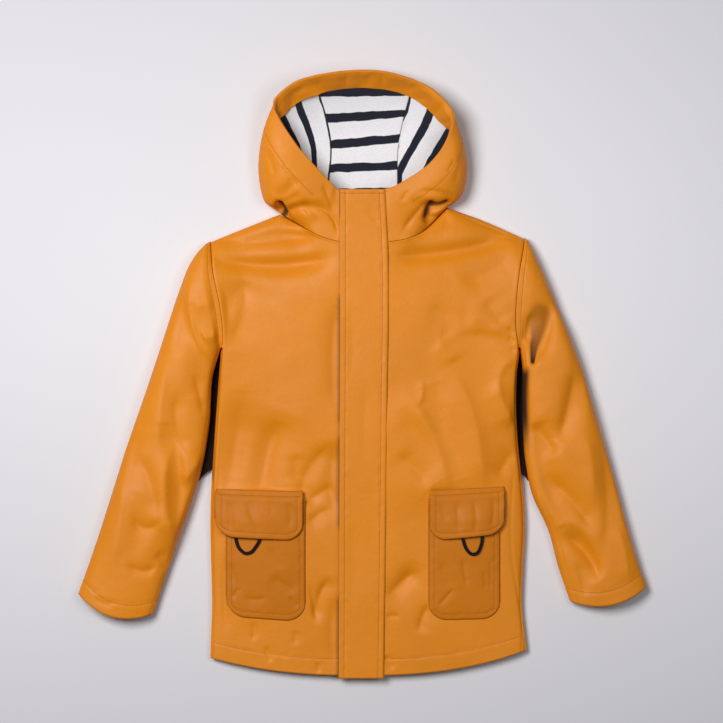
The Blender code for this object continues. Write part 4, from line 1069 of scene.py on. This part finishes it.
def patch_shares(patch, x, y):
    """Shares of a patch's width, from its inner edge, and of its length, from its top."""
    return ((x - patch.inner_x) / (patch.outer_x - patch.inner_x),
            (patch.top_y - y) / (patch.top_y - patch.bottom_y))


def patch_cover(patch, x, y):
    """1 under a patch, falling to 0 at its edges."""
    (width, length), (u, v) = patch_size(patch), patch_shares(patch, x, y)
    inside = np.minimum(np.minimum(u, 1 - u) * width, np.minimum(v, 1 - v) * length)
    return ease(inside / PATCH_FADE)


def patch_grid(patch, rows, columns):
    """Shares and plan of a patch's grid: u from the inner edge out, v from the top down."""
    v, u = np.meshgrid(np.linspace(0, 1, rows), np.linspace(0, 1, columns), indexing="ij")
    width = patch.outer_x - patch.inner_x
    drop = patch.inner_drop + (patch.outer_drop - patch.inner_drop) * u
    high = patch.top_y - drop * 0.5
    low = patch.bottom_y - drop + curl(np.minimum(u, 1 - u) * abs(width), patch.radius)
    return u, v, patch.inner_x + width * u, high + (low - high) * v


def pocket_lift(patch, x, y):
    """How far a pocket's outer face stands off the front."""
    u, v = (np.clip(share, 0, 1) for share in patch_shares(patch, x, y))
    swell = np.sin(u * math.pi) ** 0.7 * np.sin((0.12 + 0.88 * v) * math.pi) ** 0.7
    return SEAM_GAP + WALL + POCKET_SWELL * swell


def loop_plan(side, t):
    """Plan of a pull loop at steps along its route."""
    route = np.array(LOOP_ROUTES[side], dtype=float)
    return smooth(np.arange(len(route)), route, t)


def patch_path(sides, bottom, top):
    """A line in a patch's shares: down one side, along the bottom and up the other."""
    count = 40
    u = [np.full(count, sides), np.linspace(sides, 1 - sides, count), np.full(count, 1 - sides)]
    v = [np.linspace(top, 1 - bottom, count), np.full(count, 1 - bottom),
         np.linspace(1 - bottom, top, count)]
    return np.concatenate(u), np.concatenate(v)


def rows_at(distances, distance):
    """Fractional row of each column where a table of distances reaches one."""
    count = np.arange(len(distances))
    return np.array([np.interp(distance, line, count) for line in distances.T])


def trace(grid, i, j):
    """Points and outward normals along a line of fractional rows and columns."""
    i, j = np.broadcast_arrays(np.asarray(i, float), np.asarray(j, float))
    i0 = np.clip(i.astype(int), 0, grid.shape[0] - 2)
    j0 = np.clip(j.astype(int), 0, grid.shape[1] - 2)
    fi, fj = (i - i0)[:, None], (j - j0)[:, None]

    def at(values):
        low = values[i0, j0] * (1 - fi) + values[i0 + 1, j0] * fi
        high = values[i0, j0 + 1] * (1 - fi) + values[i0 + 1, j0 + 1] * fi
        return low * (1 - fj) + high * fj
    return at(grid), at(surface_normals(grid))


def plan_line(x, y):
    """Points and normals on the front along a line of the plan."""
    slope_x, slope_y = slopes(front_surface, x, y)
    return xyz(x, y, front_surface(x, y)), unit(xyz(-slope_x, -slope_y, np.ones_like(slope_x)))


# ---------------------------------------------------------------- materials
def nodes_of(name):
    """A new material: its nodes, its links and its shader."""
    material = bpy.data.materials.new(name)
    material.use_nodes = True
    tree = material.node_tree
    return material, tree, tree.nodes["Principled BSDF"]


def feed(tree, node, inputs):
    """Inputs of a node: each is a number or the output of another node."""
    for name, value in inputs.items():
        if isinstance(value, bpy.types.NodeSocket):
            tree.links.new(value, node.inputs[name])
        else:
            node.inputs[name].default_value = value


def noise(tree, scale, detail=2.0, roughness=0.5):
    """Noise in the garment's own space, with scale in features per metre."""
    place = tree.nodes.get("Place") or tree.nodes.new("ShaderNodeTexCoord")
    place.name = "Place"
    node = tree.nodes.new("ShaderNodeTexNoise")
    feed(tree, node, {"Scale": scale, "Detail": detail, "Roughness": roughness,
                      "Vector": place.outputs["Object"]})
    return node.outputs["Fac"]


def spread(tree, value, low, high, to_low, to_high):
    node = tree.nodes.new("ShaderNodeMapRange")
    feed(tree, node, {"Value": value, "From Min": low, "From Max": high,
                      "To Min": to_low, "To Max": to_high})
    return node.outputs["Result"]


def full(tree, value):
    """The middle part of a noise, spread from 0 to 1."""
    return spread(tree, value, 0.3, 0.7, 0, 1)


def blend_color(tree, factor, first, second):
    """First where factor is 0, second where it is 1; each is a colour or an output."""
    node = tree.nodes.new("ShaderNodeMix")
    node.data_type = "RGBA"
    tree.links.new(factor, node.inputs["Factor"])
    for name, value in (("A", first), ("B", second)):
        socket = [s for s in node.inputs if s.name == name and s.type == "RGBA"][0]
        if isinstance(value, tuple):
            socket.default_value = (*value, 1)
        else:
            tree.links.new(value, socket)
    return [s for s in node.outputs if s.type == "RGBA"][0]


def bump(tree, height, strength, distance, under=None):
    node = tree.nodes.new("ShaderNodeBump")
    feed(tree, node, {"Strength": strength, "Distance": distance, "Height": height})
    if under is not None:
        tree.links.new(under, node.inputs["Normal"])
    return node.outputs["Normal"]


def attribute(tree, name):
    """A number that the cloth's points carry."""
    node = tree.nodes.new("ShaderNodeAttribute")
    node.attribute_name = name
    return node.outputs["Fac"]


def combine(tree, operation, first, second):
    node = tree.nodes.new("ShaderNodeMath")
    node.operation = operation
    feed(tree, node, {0: first, 1: second})
    return node.outputs[0]


def darker(color):
    return tuple(c * 0.8 for c in color)


def coated_cloth(name, deep, bright, shine):
    """Matt polyurethane coat: soft waxy gloss, fine grain, faint mottling, and painted shade."""
    material, tree, shader = nodes_of(name)
    color = blend_color(tree, full(tree, noise(tree, 9, 3)), deep, bright)
    speckle = spread(tree, noise(tree, 260, 2), 0.35, 0.65, 0, 0.12)
    color = blend_color(tree, speckle, color, darker(deep))
    # Painted shade: where the points carry a depth, the colour goes to near black and the cloth to
    # fully rough.
    painted_shade = attribute(tree, "depth")
    satin = spread(tree, noise(tree, 30, 4), 0.3, 0.7, 0.45, 0.57)
    grain = bump(tree, noise(tree, 1100, 2), 0.25, 0.0002)
    feed(tree, shader, {
        "Base Color": blend_color(tree, painted_shade, color, DEEP_SHADE),
        "Roughness": combine(tree, "MAXIMUM", satin, painted_shade),
        "Specular IOR Level": shine,
        "Normal": bump(tree, noise(tree, 70, 5, 0.6), 0.35, 0.0012, grain)})
    return material


def striped_jersey(name):
    """White knit with navy stripes, by how many pitches a point lies from a stripe."""
    material, tree, shader = nodes_of(name)
    wander = spread(tree, noise(tree, 45, 2), 0.3, 0.7, -0.03, 0.03)
    place = combine(tree, "ADD", attribute(tree, "stripe"), wander)
    edge = STRIPE_SHARE / 2
    white = spread(tree, combine(tree, "PINGPONG", place, 0.5),
                   edge - STRIPE_BLUR, edge + STRIPE_BLUR, 0, 1)
    knit = blend_color(tree, full(tree, noise(tree, 500, 2)),
                       (0.80, 0.80, 0.83), (0.88, 0.88, 0.90))
    grain = bump(tree, noise(tree, 1500, 1), 0.5, 0.0003)
    feed(tree, shader, {
        "Base Color": blend_color(tree, white, NAVY, knit),
        "Roughness": 0.85, "Specular IOR Level": 0.25, "Sheen Weight": 0.25,
        "Normal": bump(tree, noise(tree, 120, 3), 0.3, 0.0008, grain)})
    return material


def thread(name, color):
    material, tree, shader = nodes_of(name)
    twist = full(tree, noise(tree, 2500, 1))
    feed(tree, shader, {"Base Color": blend_color(tree, twist, darker(color), color),
                        "Roughness": 0.6})
    return material


def braided_elastic(name):
    material, tree, shader = nodes_of(name)
    braid = noise(tree, 1400, 2)
    tone = spread(tree, braid, 0.35, 0.65, 0, 1)
    feed(tree, shader, {
        "Base Color": blend_color(tree, tone, (0.002, 0.002, 0.003), (0.010, 0.010, 0.012)),
        "Roughness": 0.85, "Specular IOR Level": 0.25,
        "Normal": bump(tree, braid, 0.8, 0.0005)})
    return material


def zip_tape(name):
    material, tree, shader = nodes_of(name)
    place = tree.nodes.new("ShaderNodeTexCoord")
    weave = tree.nodes.new("ShaderNodeTexWave")
    feed(tree, weave, {"Scale": 400, "Distortion": 1, "Vector": place.outputs["Object"]})
    rib = weave.outputs["Fac"]
    feed(tree, shader, {
        "Base Color": blend_color(tree, rib, (0.10, 0.045, 0.012), (0.17, 0.075, 0.02)),
        "Roughness": 0.7, "Normal": bump(tree, rib, 0.4, 0.0003)})
    return material


def pale_floor(name):
    """Pale floor, with a painted falloff of light: a little darker away from the middle."""
    material, tree, shader = nodes_of(name)
    tone = full(tree, noise(tree, 3, 2))
    color = blend_color(tree, tone, (0.82, 0.815, 0.84), (0.84, 0.835, 0.86))
    where = tree.nodes.new("ShaderNodeTexCoord")
    squeeze = tree.nodes.new("ShaderNodeMapping")
    feed(tree, squeeze, {"Scale": (0.45, 1, 1), "Location": (0, -0.1, 0),
                         "Vector": where.outputs["Object"]})
    away = tree.nodes.new("ShaderNodeVectorMath")
    away.operation = "LENGTH"
    feed(tree, away, {0: squeeze.outputs["Vector"]})
    # Painted falloff of light: the floor darkens away from the middle.
    edge = spread(tree, away.outputs["Value"], 0.12, 0.6, 0, 1)
    feed(tree, shader, {"Base Color": blend_color(tree, edge, color, (0.67, 0.665, 0.69)),
                        "Roughness": 0.9})
    return material


# ---------------------------------------------------------------- Blender objects
def link(name, data, collection):
    item = bpy.data.objects.new(name, data)
    collection.objects.link(item)
    return item


def mesh_piece(name, verts, faces, material):
    mesh = bpy.data.meshes.new(name)
    mesh.from_pydata((np.asarray(verts) * MM).tolist(), [], faces)
    mesh.shade_smooth()
    mesh.materials.append(material)
    return link(name, mesh, GARMENT)


def cloth(name, node, grid, material, thickness=WALL, closed=False, stripe=None,
          depth=None):
    """Cloth of one piece, that stands for its CAD node: a grid of points, thickened inwards."""
    rows, columns = grid.shape[:2]
    kept = columns - 1 if closed else columns
    index = np.arange(rows * kept).reshape(rows, kept)
    if closed:
        index = np.concatenate([index, index[:, :1]], axis=1)
    corners = [index[:-1, :-1], index[:-1, 1:], index[1:, 1:], index[1:, :-1]]
    faces = np.stack(corners, axis=-1).reshape(-1, 4).tolist()
    piece = mesh_piece(name, grid[:, :kept].reshape(-1, 3), faces, material)
    # The stripe places the lining's stripes; the depth is painted shade in the coat's colour.
    for label, values in (("stripe", stripe), ("depth", depth)):
        if values is not None:
            layer = piece.data.attributes.new(label, "FLOAT", "POINT")
            layer.data.foreach_set("value", values[:, :kept].astype(np.float32).ravel())
    wall = piece.modifiers.new("Wall", "SOLIDIFY")
    wall.thickness = thickness * MM
    wall.offset = -1
    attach(piece, "root")
    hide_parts(node)
    return piece


def stitch_shape():
    """Points and faces of one stitch along x: two ends and three rings of four points."""
    points = [(-0.5, 0, -0.3)]
    for u in (-0.32, 0, 0.32):
        points += [(u, -1, 0), (u, 0, 1), (u, 1, 0), (u, 0, -0.4)]
    points.append((0.5, 0, -0.3))
    faces = [(0, 2, 1), (0, 3, 2), (0, 4, 3), (0, 1, 4)]
    for ring in (1, 5):
        faces += [(ring + k, ring + (k + 1) % 4, ring + 4 + (k + 1) % 4, ring + 4 + k)
                  for k in range(4)]
    faces += [(13, 9, 10), (13, 10, 11), (13, 11, 12), (13, 12, 9)]
    return np.array(points) * (STITCH_LENGTH, STITCH_HALF, STITCH_HIGH), faces


def stitches(name, runs, material):
    """Short raised stitches along lines of points and normals, as one piece."""
    shape, shape_faces = stitch_shape()
    verts, faces, start = [], [], 0
    for points, normals in runs:
        run = arc(points)
        count = max(int(run[-1] / STITCH_PITCH), 1)
        middle = (np.arange(count) + 0.5) * run[-1] / count
        tangent = unit(between(middle + STITCH_LENGTH / 2, run, points)
                       - between(middle - STITCH_LENGTH / 2, run, points))
        side = unit(np.cross(between(middle, run, normals), tangent))
        up = np.cross(tangent, side)
        place = between(middle, run, points)[:, None] + (
            shape[:, 0, None] * tangent[:, None] + shape[:, 1, None] * side[:, None]
            + (shape[:, 2, None] + STITCH_LIFT) * up[:, None])
        verts.append(place.reshape(-1, 3))
        faces += [tuple(start + len(shape) * n + k for k in face)
                  for n in range(count) for face in shape_faces]
        start += len(verts[-1])
    piece = mesh_piece(name, np.concatenate(verts), faces, material)
    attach(piece, "root")


def loop(name, node, path):
    """An elastic pull loop along a route."""
    curve = bpy.data.curves.new(name, "CURVE")
    curve.dimensions = "3D"
    curve.bevel_depth = LOOP_DIAMETER / 2 * MM
    curve.bevel_resolution = 4
    curve.use_fill_caps = True
    spline = curve.splines.new("POLY")
    spline.points.add(len(path) - 1)
    for point, place in zip(spline.points, path):
        point.co = (*(Vector(place) * MM), 1)
    curve.materials.append(braided_elastic(name))
    piece = link(name, curve, GARMENT)
    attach(piece, "root")
    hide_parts(node)


# ---------------------------------------------------------------- pieces
def make_loops():
    for side, tag in SIDES:
        path = loop_plan(side, np.linspace(0, len(LOOP_ROUTES[side]) - 1, 33))
        x, y = path[:, 0], path[:, 1]
        lift = pocket_lift(POCKETS[side], x, y) + SEAM_GAP + LOOP_DIAMETER / 2
        loop("elastic_loop_" + tag, "pull_loop_" + tag, lifted(x, y, lift))


def flap_shade(y):
    """How dark the painted shadow under the storm flap's free edge is, where the edge stands off.
    """
    return np.interp(y, column(FLAP_SHADE, "y"), column(FLAP_SHADE, "shade"))


def slit(y):
    """Painted shade in the deep gap between body and sleeve: 1 along it, 0 past its ends."""
    return ease((y - LIP_END) / 14) * ease((UNDERARM_Y + 4 - y) / 8)


def make_body():
    runs = []
    for side, tag in SIDES:
        grid = front_grid(side)
        x, y, z = (grid[..., k] for k in range(3))
        # Painted shade on the flank beside the slit, and a painted shadow under the storm flap's
        # free edge.
        beside_slit = np.abs(x - side_x(side, y)) < SIDE_WIDE
        painted_shade = ease((SIDE_DARK - z) / 8) * slit(y) * beside_slit
        from_flap = x - table_curve(FLAP_EDGE, "y", "free_x", y)
        under_edge = FLAP_SHADOW * np.exp(-(from_flap / SHADOW_WIDE) ** 2)
        painted_shade = painted_shade + under_edge * flap_shade(y)
        piece = cloth("front_panel_" + tag, "front_" + tag, grid, MUSTARD, depth=painted_shade)
        edge = float(side_x(side, HEM_Y + HEM_DEPTH)) - side * 2
        line = np.linspace(ZIP_X[side], edge, 120)
        line = line[np.abs(line) > FLAP_HALF - 2]
        runs.append(plan_line(line, hem_y(line) + HEM_DEPTH))
    stitches("stitches_front", runs, THREAD)
    back = cloth("back_panel", "back", back_grid(), MUSTARD)


def past_inner_edge(side, x, y):
    """How far points of a sleeve lie past the innermost edge at their height."""
    inmost = np.argmin(side * x, axis=1)[:, None]
    edge_x, edge_y = (np.take_along_axis(v, inmost, 1)[:, 0] for v in (side * x, y))
    order = np.argsort(edge_y)
    return side * x - np.interp(y, edge_y[order], edge_x[order])


def make_sleeves():
    runs = []
    for side, tag in SIDES:
        grid = sleeve_grid(side)
        x, y, z = (grid[..., k] for k in range(3))
        held = ease((z - DENT_FLOOR) / DENT_FADE)
        grid, painted_shade = dented(SLEEVE_DENTS[side], grid, surface_normals(grid), held)
        # Painted shade low in the slit beside the body, and over the sleeve's inner roll there.
        beside_slit = np.abs(x - side_x(side, y)) < SLIT_WIDE
        shade = ease((SLIT_DARK - z) / 6) * slit(y) * beside_slit
        roll_shade = ease((SLIT_ROLL[side] - past_inner_edge(side, x, y)) / 7)
        roll_shade = roll_shade * ease((ROLL_TOP - y) / 14) * ease((y - ROLL_FOOT) / 60)
        painted_shade = np.maximum.reduce([painted_shade, shade, ROLL_DARK * roll_shade])
        piece = cloth("sleeve_tube_" + tag, "sleeve_" + tag, grid, MUSTARD, closed=True,
                      depth=painted_shade)
        last, columns = grid.shape[0] - 1, np.arange(grid.shape[1])
        runs.append(trace(grid, rows_at(arc(grid), TOPSTITCH), columns))
        runs.append(trace(grid, last - rows_at(arc(grid[::-1]), CUFF_DEPTH), columns))
    stitches("stitches_sleeves", runs, THREAD)


def stripe_centre(x, y):
    """How many pitches a point of the centre lining lies from the top stripe."""
    right, left = centre_seam_x(-1, y), centre_seam_x(1, y)
    share = np.clip((x - right) / (left - right), 0, 1)
    at_right, at_left = (np.interp(-y, -np.array(STRIPES[side]), np.arange(len(STRIPES[side])))
                         for side in (-1, 1))
    return at_right + (at_left - at_right) * share


def stripe_side(side, x, y):
    """How many pitches a point of a side lining lies from the centre seam's stripe."""
    table = SIDE_STRIPES[side]
    distance = side * (x - centre_seam_x(side, y))
    first, second = table_curve(table, "y", "first", y), table_curve(table, "y", "second", y)
    count = 1 + (distance - first) / (second - first)
    if side < 0:
        near_seam = SEAM_STRIPE + (1 - SEAM_STRIPE) * distance / first
        count = np.where(distance < first, near_seam, count)
    return count


def make_hood():
    """Shell panels, and under them the lining and, along the brim, the facing."""
    stations = blocks(*HOOD_STATIONS)
    band = np.concatenate([np.arange(0, FACING_WIDTH, BAND_STEP),
                           np.arange(FACING_WIDTH, BAND_END, AFTER_STEP)])
    outer, ends = hood_grid(stations, np.linspace(0, 1, CROWN_COLUMNS), band)
    normals = np.concatenate([surface_normals(part) for part in np.split(outer, ends[:-1])])
    x, y, z = (outer[..., k] for k in range(3))
    rise = (creased(HOOD_CREASES, x, y) + crumple(x, y, CRUMPLE["hood"])) * hood_fade(z)
    outer[..., 2] += rise * ease((np.abs(x + 1) - 24) / 8)
    from_brim = arc(outer[:, ::-1].swapaxes(0, 1)).swapaxes(0, 1)[:, ::-1]
    cased = np.maximum(ease((CASING_FROM[-1] - x) / CASING_FADE[-1]),
                       ease((x - CASING_FROM[1]) / CASING_FADE[1]) * CASING_LEFT)
    outer += normals * (sewn(from_brim - FACING_WIDTH, x, y) * cased)[..., None]
    from_seam = arc(outer.swapaxes(0, 1)).swapaxes(0, 1)
    held = ease((z - DENT_FLOOR) / DENT_FADE) * ease(from_seam / 8)
    # The dents are pushed in, with painted shade inside them.
    outer, painted_shade = dented(HOOD_DENTS, outer, normals, held)
    outer = off_floor(outer, surface_normals(outer))
    make_shell(outer, painted_shade, ends)

    inner = outer - normals * (WALL + SEAM_GAP)
    inner[..., 2] = np.maximum(inner[..., 2], WALL + SEAM_GAP)
    skip = int(np.sum(stations < 1))
    split = REST_STEPS + len(band) - 1 - int(np.argmin(np.abs(band - FACING_WIDTH)))
    make_lining(inner[:, :split + 1].copy(), outer, ends, skip)

    keep = np.r_[skip:ends[0], ends[0] + 1:ends[1] - 1, ends[1]:ends[2] - skip]
    make_facing(inner[keep, split:], normals[keep, split:])


def make_shell(outer, painted_shade, ends):
    """The hood's three shell panels with painted shade in dents, and stitches along the facing."""
    runs = []
    for tag, node, panel, shade in zip(("right", "centre", "left"),
                                       ("hood_side_right", "hood_centre", "hood_side_left"),
                                       np.split(outer, ends[:-1]), np.split(painted_shade, ends[:-1])):
        piece = cloth("hood_shell_" + tag, node, panel, MUSTARD, depth=shade)
        turned = panel[:, ::-1].swapaxes(0, 1)
        columns = panel.shape[1] - 1 - rows_at(arc(turned), FACING_WIDTH)
        points, normals = trace(panel, np.arange(panel.shape[0]), columns)
        seen = (np.abs(points[:, 0]) > SHELL_STITCHES) | (points[:, 1] > SHELL_STITCHES_Y)
        runs.append((points[seen], normals[seen]))
    stitches("stitches_hood", runs, THREAD)


def make_lining(lining, outer, ends, skip):
    """The striped lining, a little uneven, with its seams under the shell's."""
    seams = [ends[0] - 1, ends[0], ends[1] - 1, ends[1]]
    lining[seams, :, 0] = outer[seams, :lining.shape[1], 0]
    lining[..., 2] += 0.5 * (1 + wrinkle(lining[..., 0], lining[..., 1], 26, 11))
    for side, tag, part in ((-1, "right", lining[skip:ends[0]]),
                            (1, "left", lining[ends[1]:ends[2] - skip]),
                            (0, "centre", lining[ends[0]:ends[1]])):
        x, y = part[..., 0], part[..., 1]
        stripe = stripe_side(side, x, y) if side else stripe_centre(x, y)
        piece = cloth("lining_" + tag, "hood_lining_" + tag, part, JERSEY, LINING_WALL,
                      stripe=stripe)


def make_facing(facing, normals):
    """The facing along the brim, gathered into small crinkles that end at the rim."""
    x, y = facing[..., 0], facing[..., 1]
    (fine, *fine_kind), (broad, *broad_kind) = CRINKLE_FINE, CRINKLE_BROAD
    crinkle = CRINKLE_BASE + fine * np.abs(wrinkle(x, y, *fine_kind))
    crinkle = crinkle + broad * np.maximum(wrinkle(x, y, *broad_kind), 0)
    rim = np.linspace(0, 1, facing.shape[1])
    crinkle = crinkle * np.where(rim > 1 - CRINKLE_RIM, (1 - rim) / CRINKLE_RIM, 1)
    piece = cloth("facing_band", "hood_facing", facing - normals * crinkle[..., None], MUSTARD,
                  LINING_WALL)


def make_closure():
    """The storm flap over the zip."""
    y = np.concatenate([np.arange(HEM_Y - FLAP_PAST_HEM, FLAP_TOP - 1, 2),
                        [FLAP_TOP - 0.8, FLAP_TOP]])
    free, fixed = (table_curve(FLAP_EDGE, "y", name, y) for name in ("free_x", "sewn_x"))
    share, y = np.meshgrid(np.array(FLAP_COLUMNS) / FLAP_COLUMNS[-1], y)
    width = (fixed - free)[:, None]
    x = free[:, None] + width * share
    from_free, from_sewn, from_top = share * width, (1 - share) * width, FLAP_TOP - y
    lift = SEAM_GAP + FLAP_WALL + creased(PLACKET_CREASES, x, y)
    lift = lift + crumple(x, y + 500, CRUMPLE["storm_flap"])
    lift = lift + sewn(from_free - TOPSTITCH, x, y) + sewn(from_sewn - TOPSTITCH, x, y)
    lift = lift + sewn(from_top - FLAP_TOP_STITCH, x, y) 
    lift = lift + STORM_RISE * ease((TOPSTITCH - from_sewn) / 2)
    lift = lift - STORM_EDGE_DROP * ease((EDGE_TURN - from_sewn) / EDGE_TURN)
    grid = lifted(x, y, np.maximum(lift, SEAM_GAP + FLAP_WALL - FLAP_SINK))
    # Painted shade along the free cut edge, where the edge stands off.
    painted_shade = FLAP_RIM_DARK * ease((1.5 - from_free) / 1.1) * flap_shade(y)
    piece = cloth("storm_flap_cloth", "storm_flap", grid, MUSTARD, FLAP_WALL, depth=painted_shade)
    last, rows = grid.shape[1] - 1, np.arange(grid.shape[0] - 3)
    top_row = np.interp(FLAP_TOP - FLAP_TOP_STITCH, y[:, 0], np.arange(len(y)))
    runs = [trace(grid, rows, rows_at(from_free.T, TOPSTITCH)[rows]),
            trace(grid, rows, last - rows_at(from_sewn[:, ::-1].T, TOPSTITCH)[rows]),
            trace(grid, np.full(20, top_row), np.linspace(2, last - 2, 20))]
    stitches("stitches_storm_flap", runs, THREAD)
    for slot in frame["nodes"]["zip"].material_slots:
        slot.material = zip_tape("zip_tape")


def pocket_face(side, x, y, edge):
    """How far a pocket stands off the front, with its creases, stitches and edge."""
    lift = pocket_lift(POCKETS[side], x, y) + creased(POCKET_CREASES, x, y)
    lift = lift + crumple(x, y, CRUMPLE["pocket"]) * ease(edge / 10)
    lift = lift + sewn(edge - TOPSTITCH, x, y)
    return lift - PATCH_EDGE * ease((EDGE_TURN - edge) / EDGE_TURN)


def flap_face(side, x, y, edge, u, v, down):
    """The same for a pocket's flap, that stands off most over the pull loop."""
    flap = FLAPS[side]
    route = np.array(LOOP_ROUTES[side], dtype=float)
    loop_u = (route[:, 0].mean() - flap.inner_x) / (flap.outer_x - flap.inner_x)
    stand = ease((v - STAND_FROM) / STAND_RUN) * np.exp(-((u - loop_u) / LOOP_SPREAD) ** 2)
    lift = SEAM_GAP + FLAP_WALL + FLAP_RISE * ease(v / FLAP_RISE_SHARE) + FLAP_STAND * stand
    lift = lift + creased(FLAP_CREASES, x, y) * ease(down / 12)
    lift = lift + sewn(edge - TOPSTITCH, x, y) * ease((down - 6) / 2)
    lift = lift + sewn(down - TOP_ROW, x, y)
    return lift - FLAP_EDGE_DROP * ease((EDGE_TURN - edge) / EDGE_TURN)


def make_pockets():
    runs = []
    for side, tag in SIDES:
        for node, patch in (("pocket_" + tag, POCKETS[side]), ("pocket_flap_" + tag, FLAPS[side])):
            width, length = patch_size(patch)
            rows, columns = int(length / PATCH_STEP), int(width / PATCH_STEP)
            u, v, x, y = patch_grid(patch, rows, columns)
            edge = np.minimum(np.minimum(u, 1 - u) * width, (1 - v) * length)
            if patch is POCKETS[side]:
                lift, wall = pocket_face(side, x, y, edge), WALL
                insets, across = ((EDGE_TURN, 0.0), (TOPSTITCH, 0.0)), ()
            else:
                lift, wall = flap_face(side, x, y, edge, u, v, v * length), FLAP_WALL
                insets, across = ((TOPSTITCH, TOP_ROW),), (0.8, TOP_ROW)
            grid = lifted(x, y, lift)[:, ::-side]
            piece = cloth(node + "_cloth", node, grid, POCKET_CLOTH, wall)
            for distance, top in insets:
                pu, pv = patch_path(distance / width, distance / length, top / length)
                place = pu * (columns - 1)
                place = place if side < 0 else columns - 1 - place
                runs.append(trace(grid, pv * (rows - 1), place))
            for down in across:
                line = np.full(30, down / length * (rows - 1))
                runs.append(trace(grid, line, np.linspace(1, columns - 2, 30)))
    stitches("stitches_pockets", runs, THREAD)


# ---------------------------------------------------------------- stage
def make_camera():
    data = bpy.data.cameras.new("camera")
    data.sensor_width = SENSOR
    data.lens = SENSOR * (CAMERA_HIGH - CAMERA_AIM_HIGH) / FRAME_WIDTH
    data.clip_end = 20
    camera = link("camera", data, SCENE.collection)
    camera.location = (CAMERA_X, CAMERA_Y, CAMERA_HIGH)
    SCENE.camera = camera


def area_light(name, place, size, power, color):
    """A round light that shines at the middle of the garment."""
    data = bpy.data.lights.new(name, "AREA")
    data.shape = "DISK"
    data.size = size
    data.energy = power
    data.color = color
    light = link(name, data, SCENE.collection)
    light.location = place
    light.rotation_euler = (-Vector(place)).to_track_quat("-Z", "Y").to_euler()


def make_stage():
    mesh = bpy.data.meshes.new("floor")
    corners = [(FLOOR_HALF * x, FLOOR_HALF * y, 0) for x, y in ((-1, -1), (1, -1), (1, 1), (-1, 1))]
    mesh.from_pydata(corners, [], [(0, 1, 2, 3)])
    mesh.materials.append(pale_floor("pale_floor"))
    floor = link("floor", mesh, SCENE.collection)
    world = bpy.data.worlds.new("world")
    world.use_nodes = True
    background = world.node_tree.nodes["Background"]
    background.inputs["Color"].default_value = (0.97, 0.965, 1.0, 1)
    background.inputs["Strength"].default_value = 0.09
    SCENE.world = world
    SCENE.view_settings.view_transform = "Standard"
    area_light("key", (-1.05, 0.65, 2.4), 1.3, 60, (1.0, 0.985, 0.985))
    area_light("top", (0.8, 0.1, 2.0), 0.9, 8, (0.97, 0.98, 1.0))


SCENE = bpy.context.scene
GARMENT = bpy.data.collections.new("kids_raincoat")
SCENE.collection.children.link(GARMENT)
for old in (set(bpy.data.objects) - set(frame["nodes"].values()) - set(frame["bodies"].values())):
    bpy.data.objects.remove(old, do_unlink=True)

make_camera()
make_loops()
MUSTARD = coated_cloth("mustard_coated_cloth", (0.73, 0.233, 0.004), (0.79, 0.256, 0.006), 0.30)
# The pockets and their flaps: a darker, less glossy copy of the coat's cloth.
POCKET_CLOTH = coated_cloth("mustard_pocket_cloth", (0.56, 0.166, 0.003),
                            (0.62, 0.186, 0.004), 0.18)
JERSEY = striped_jersey("striped_jersey")
THREAD = thread("mustard_thread", (0.58, 0.19, 0.010))
make_stage()
make_body()
make_sleeves()
make_hood()
make_closure()
make_pockets()
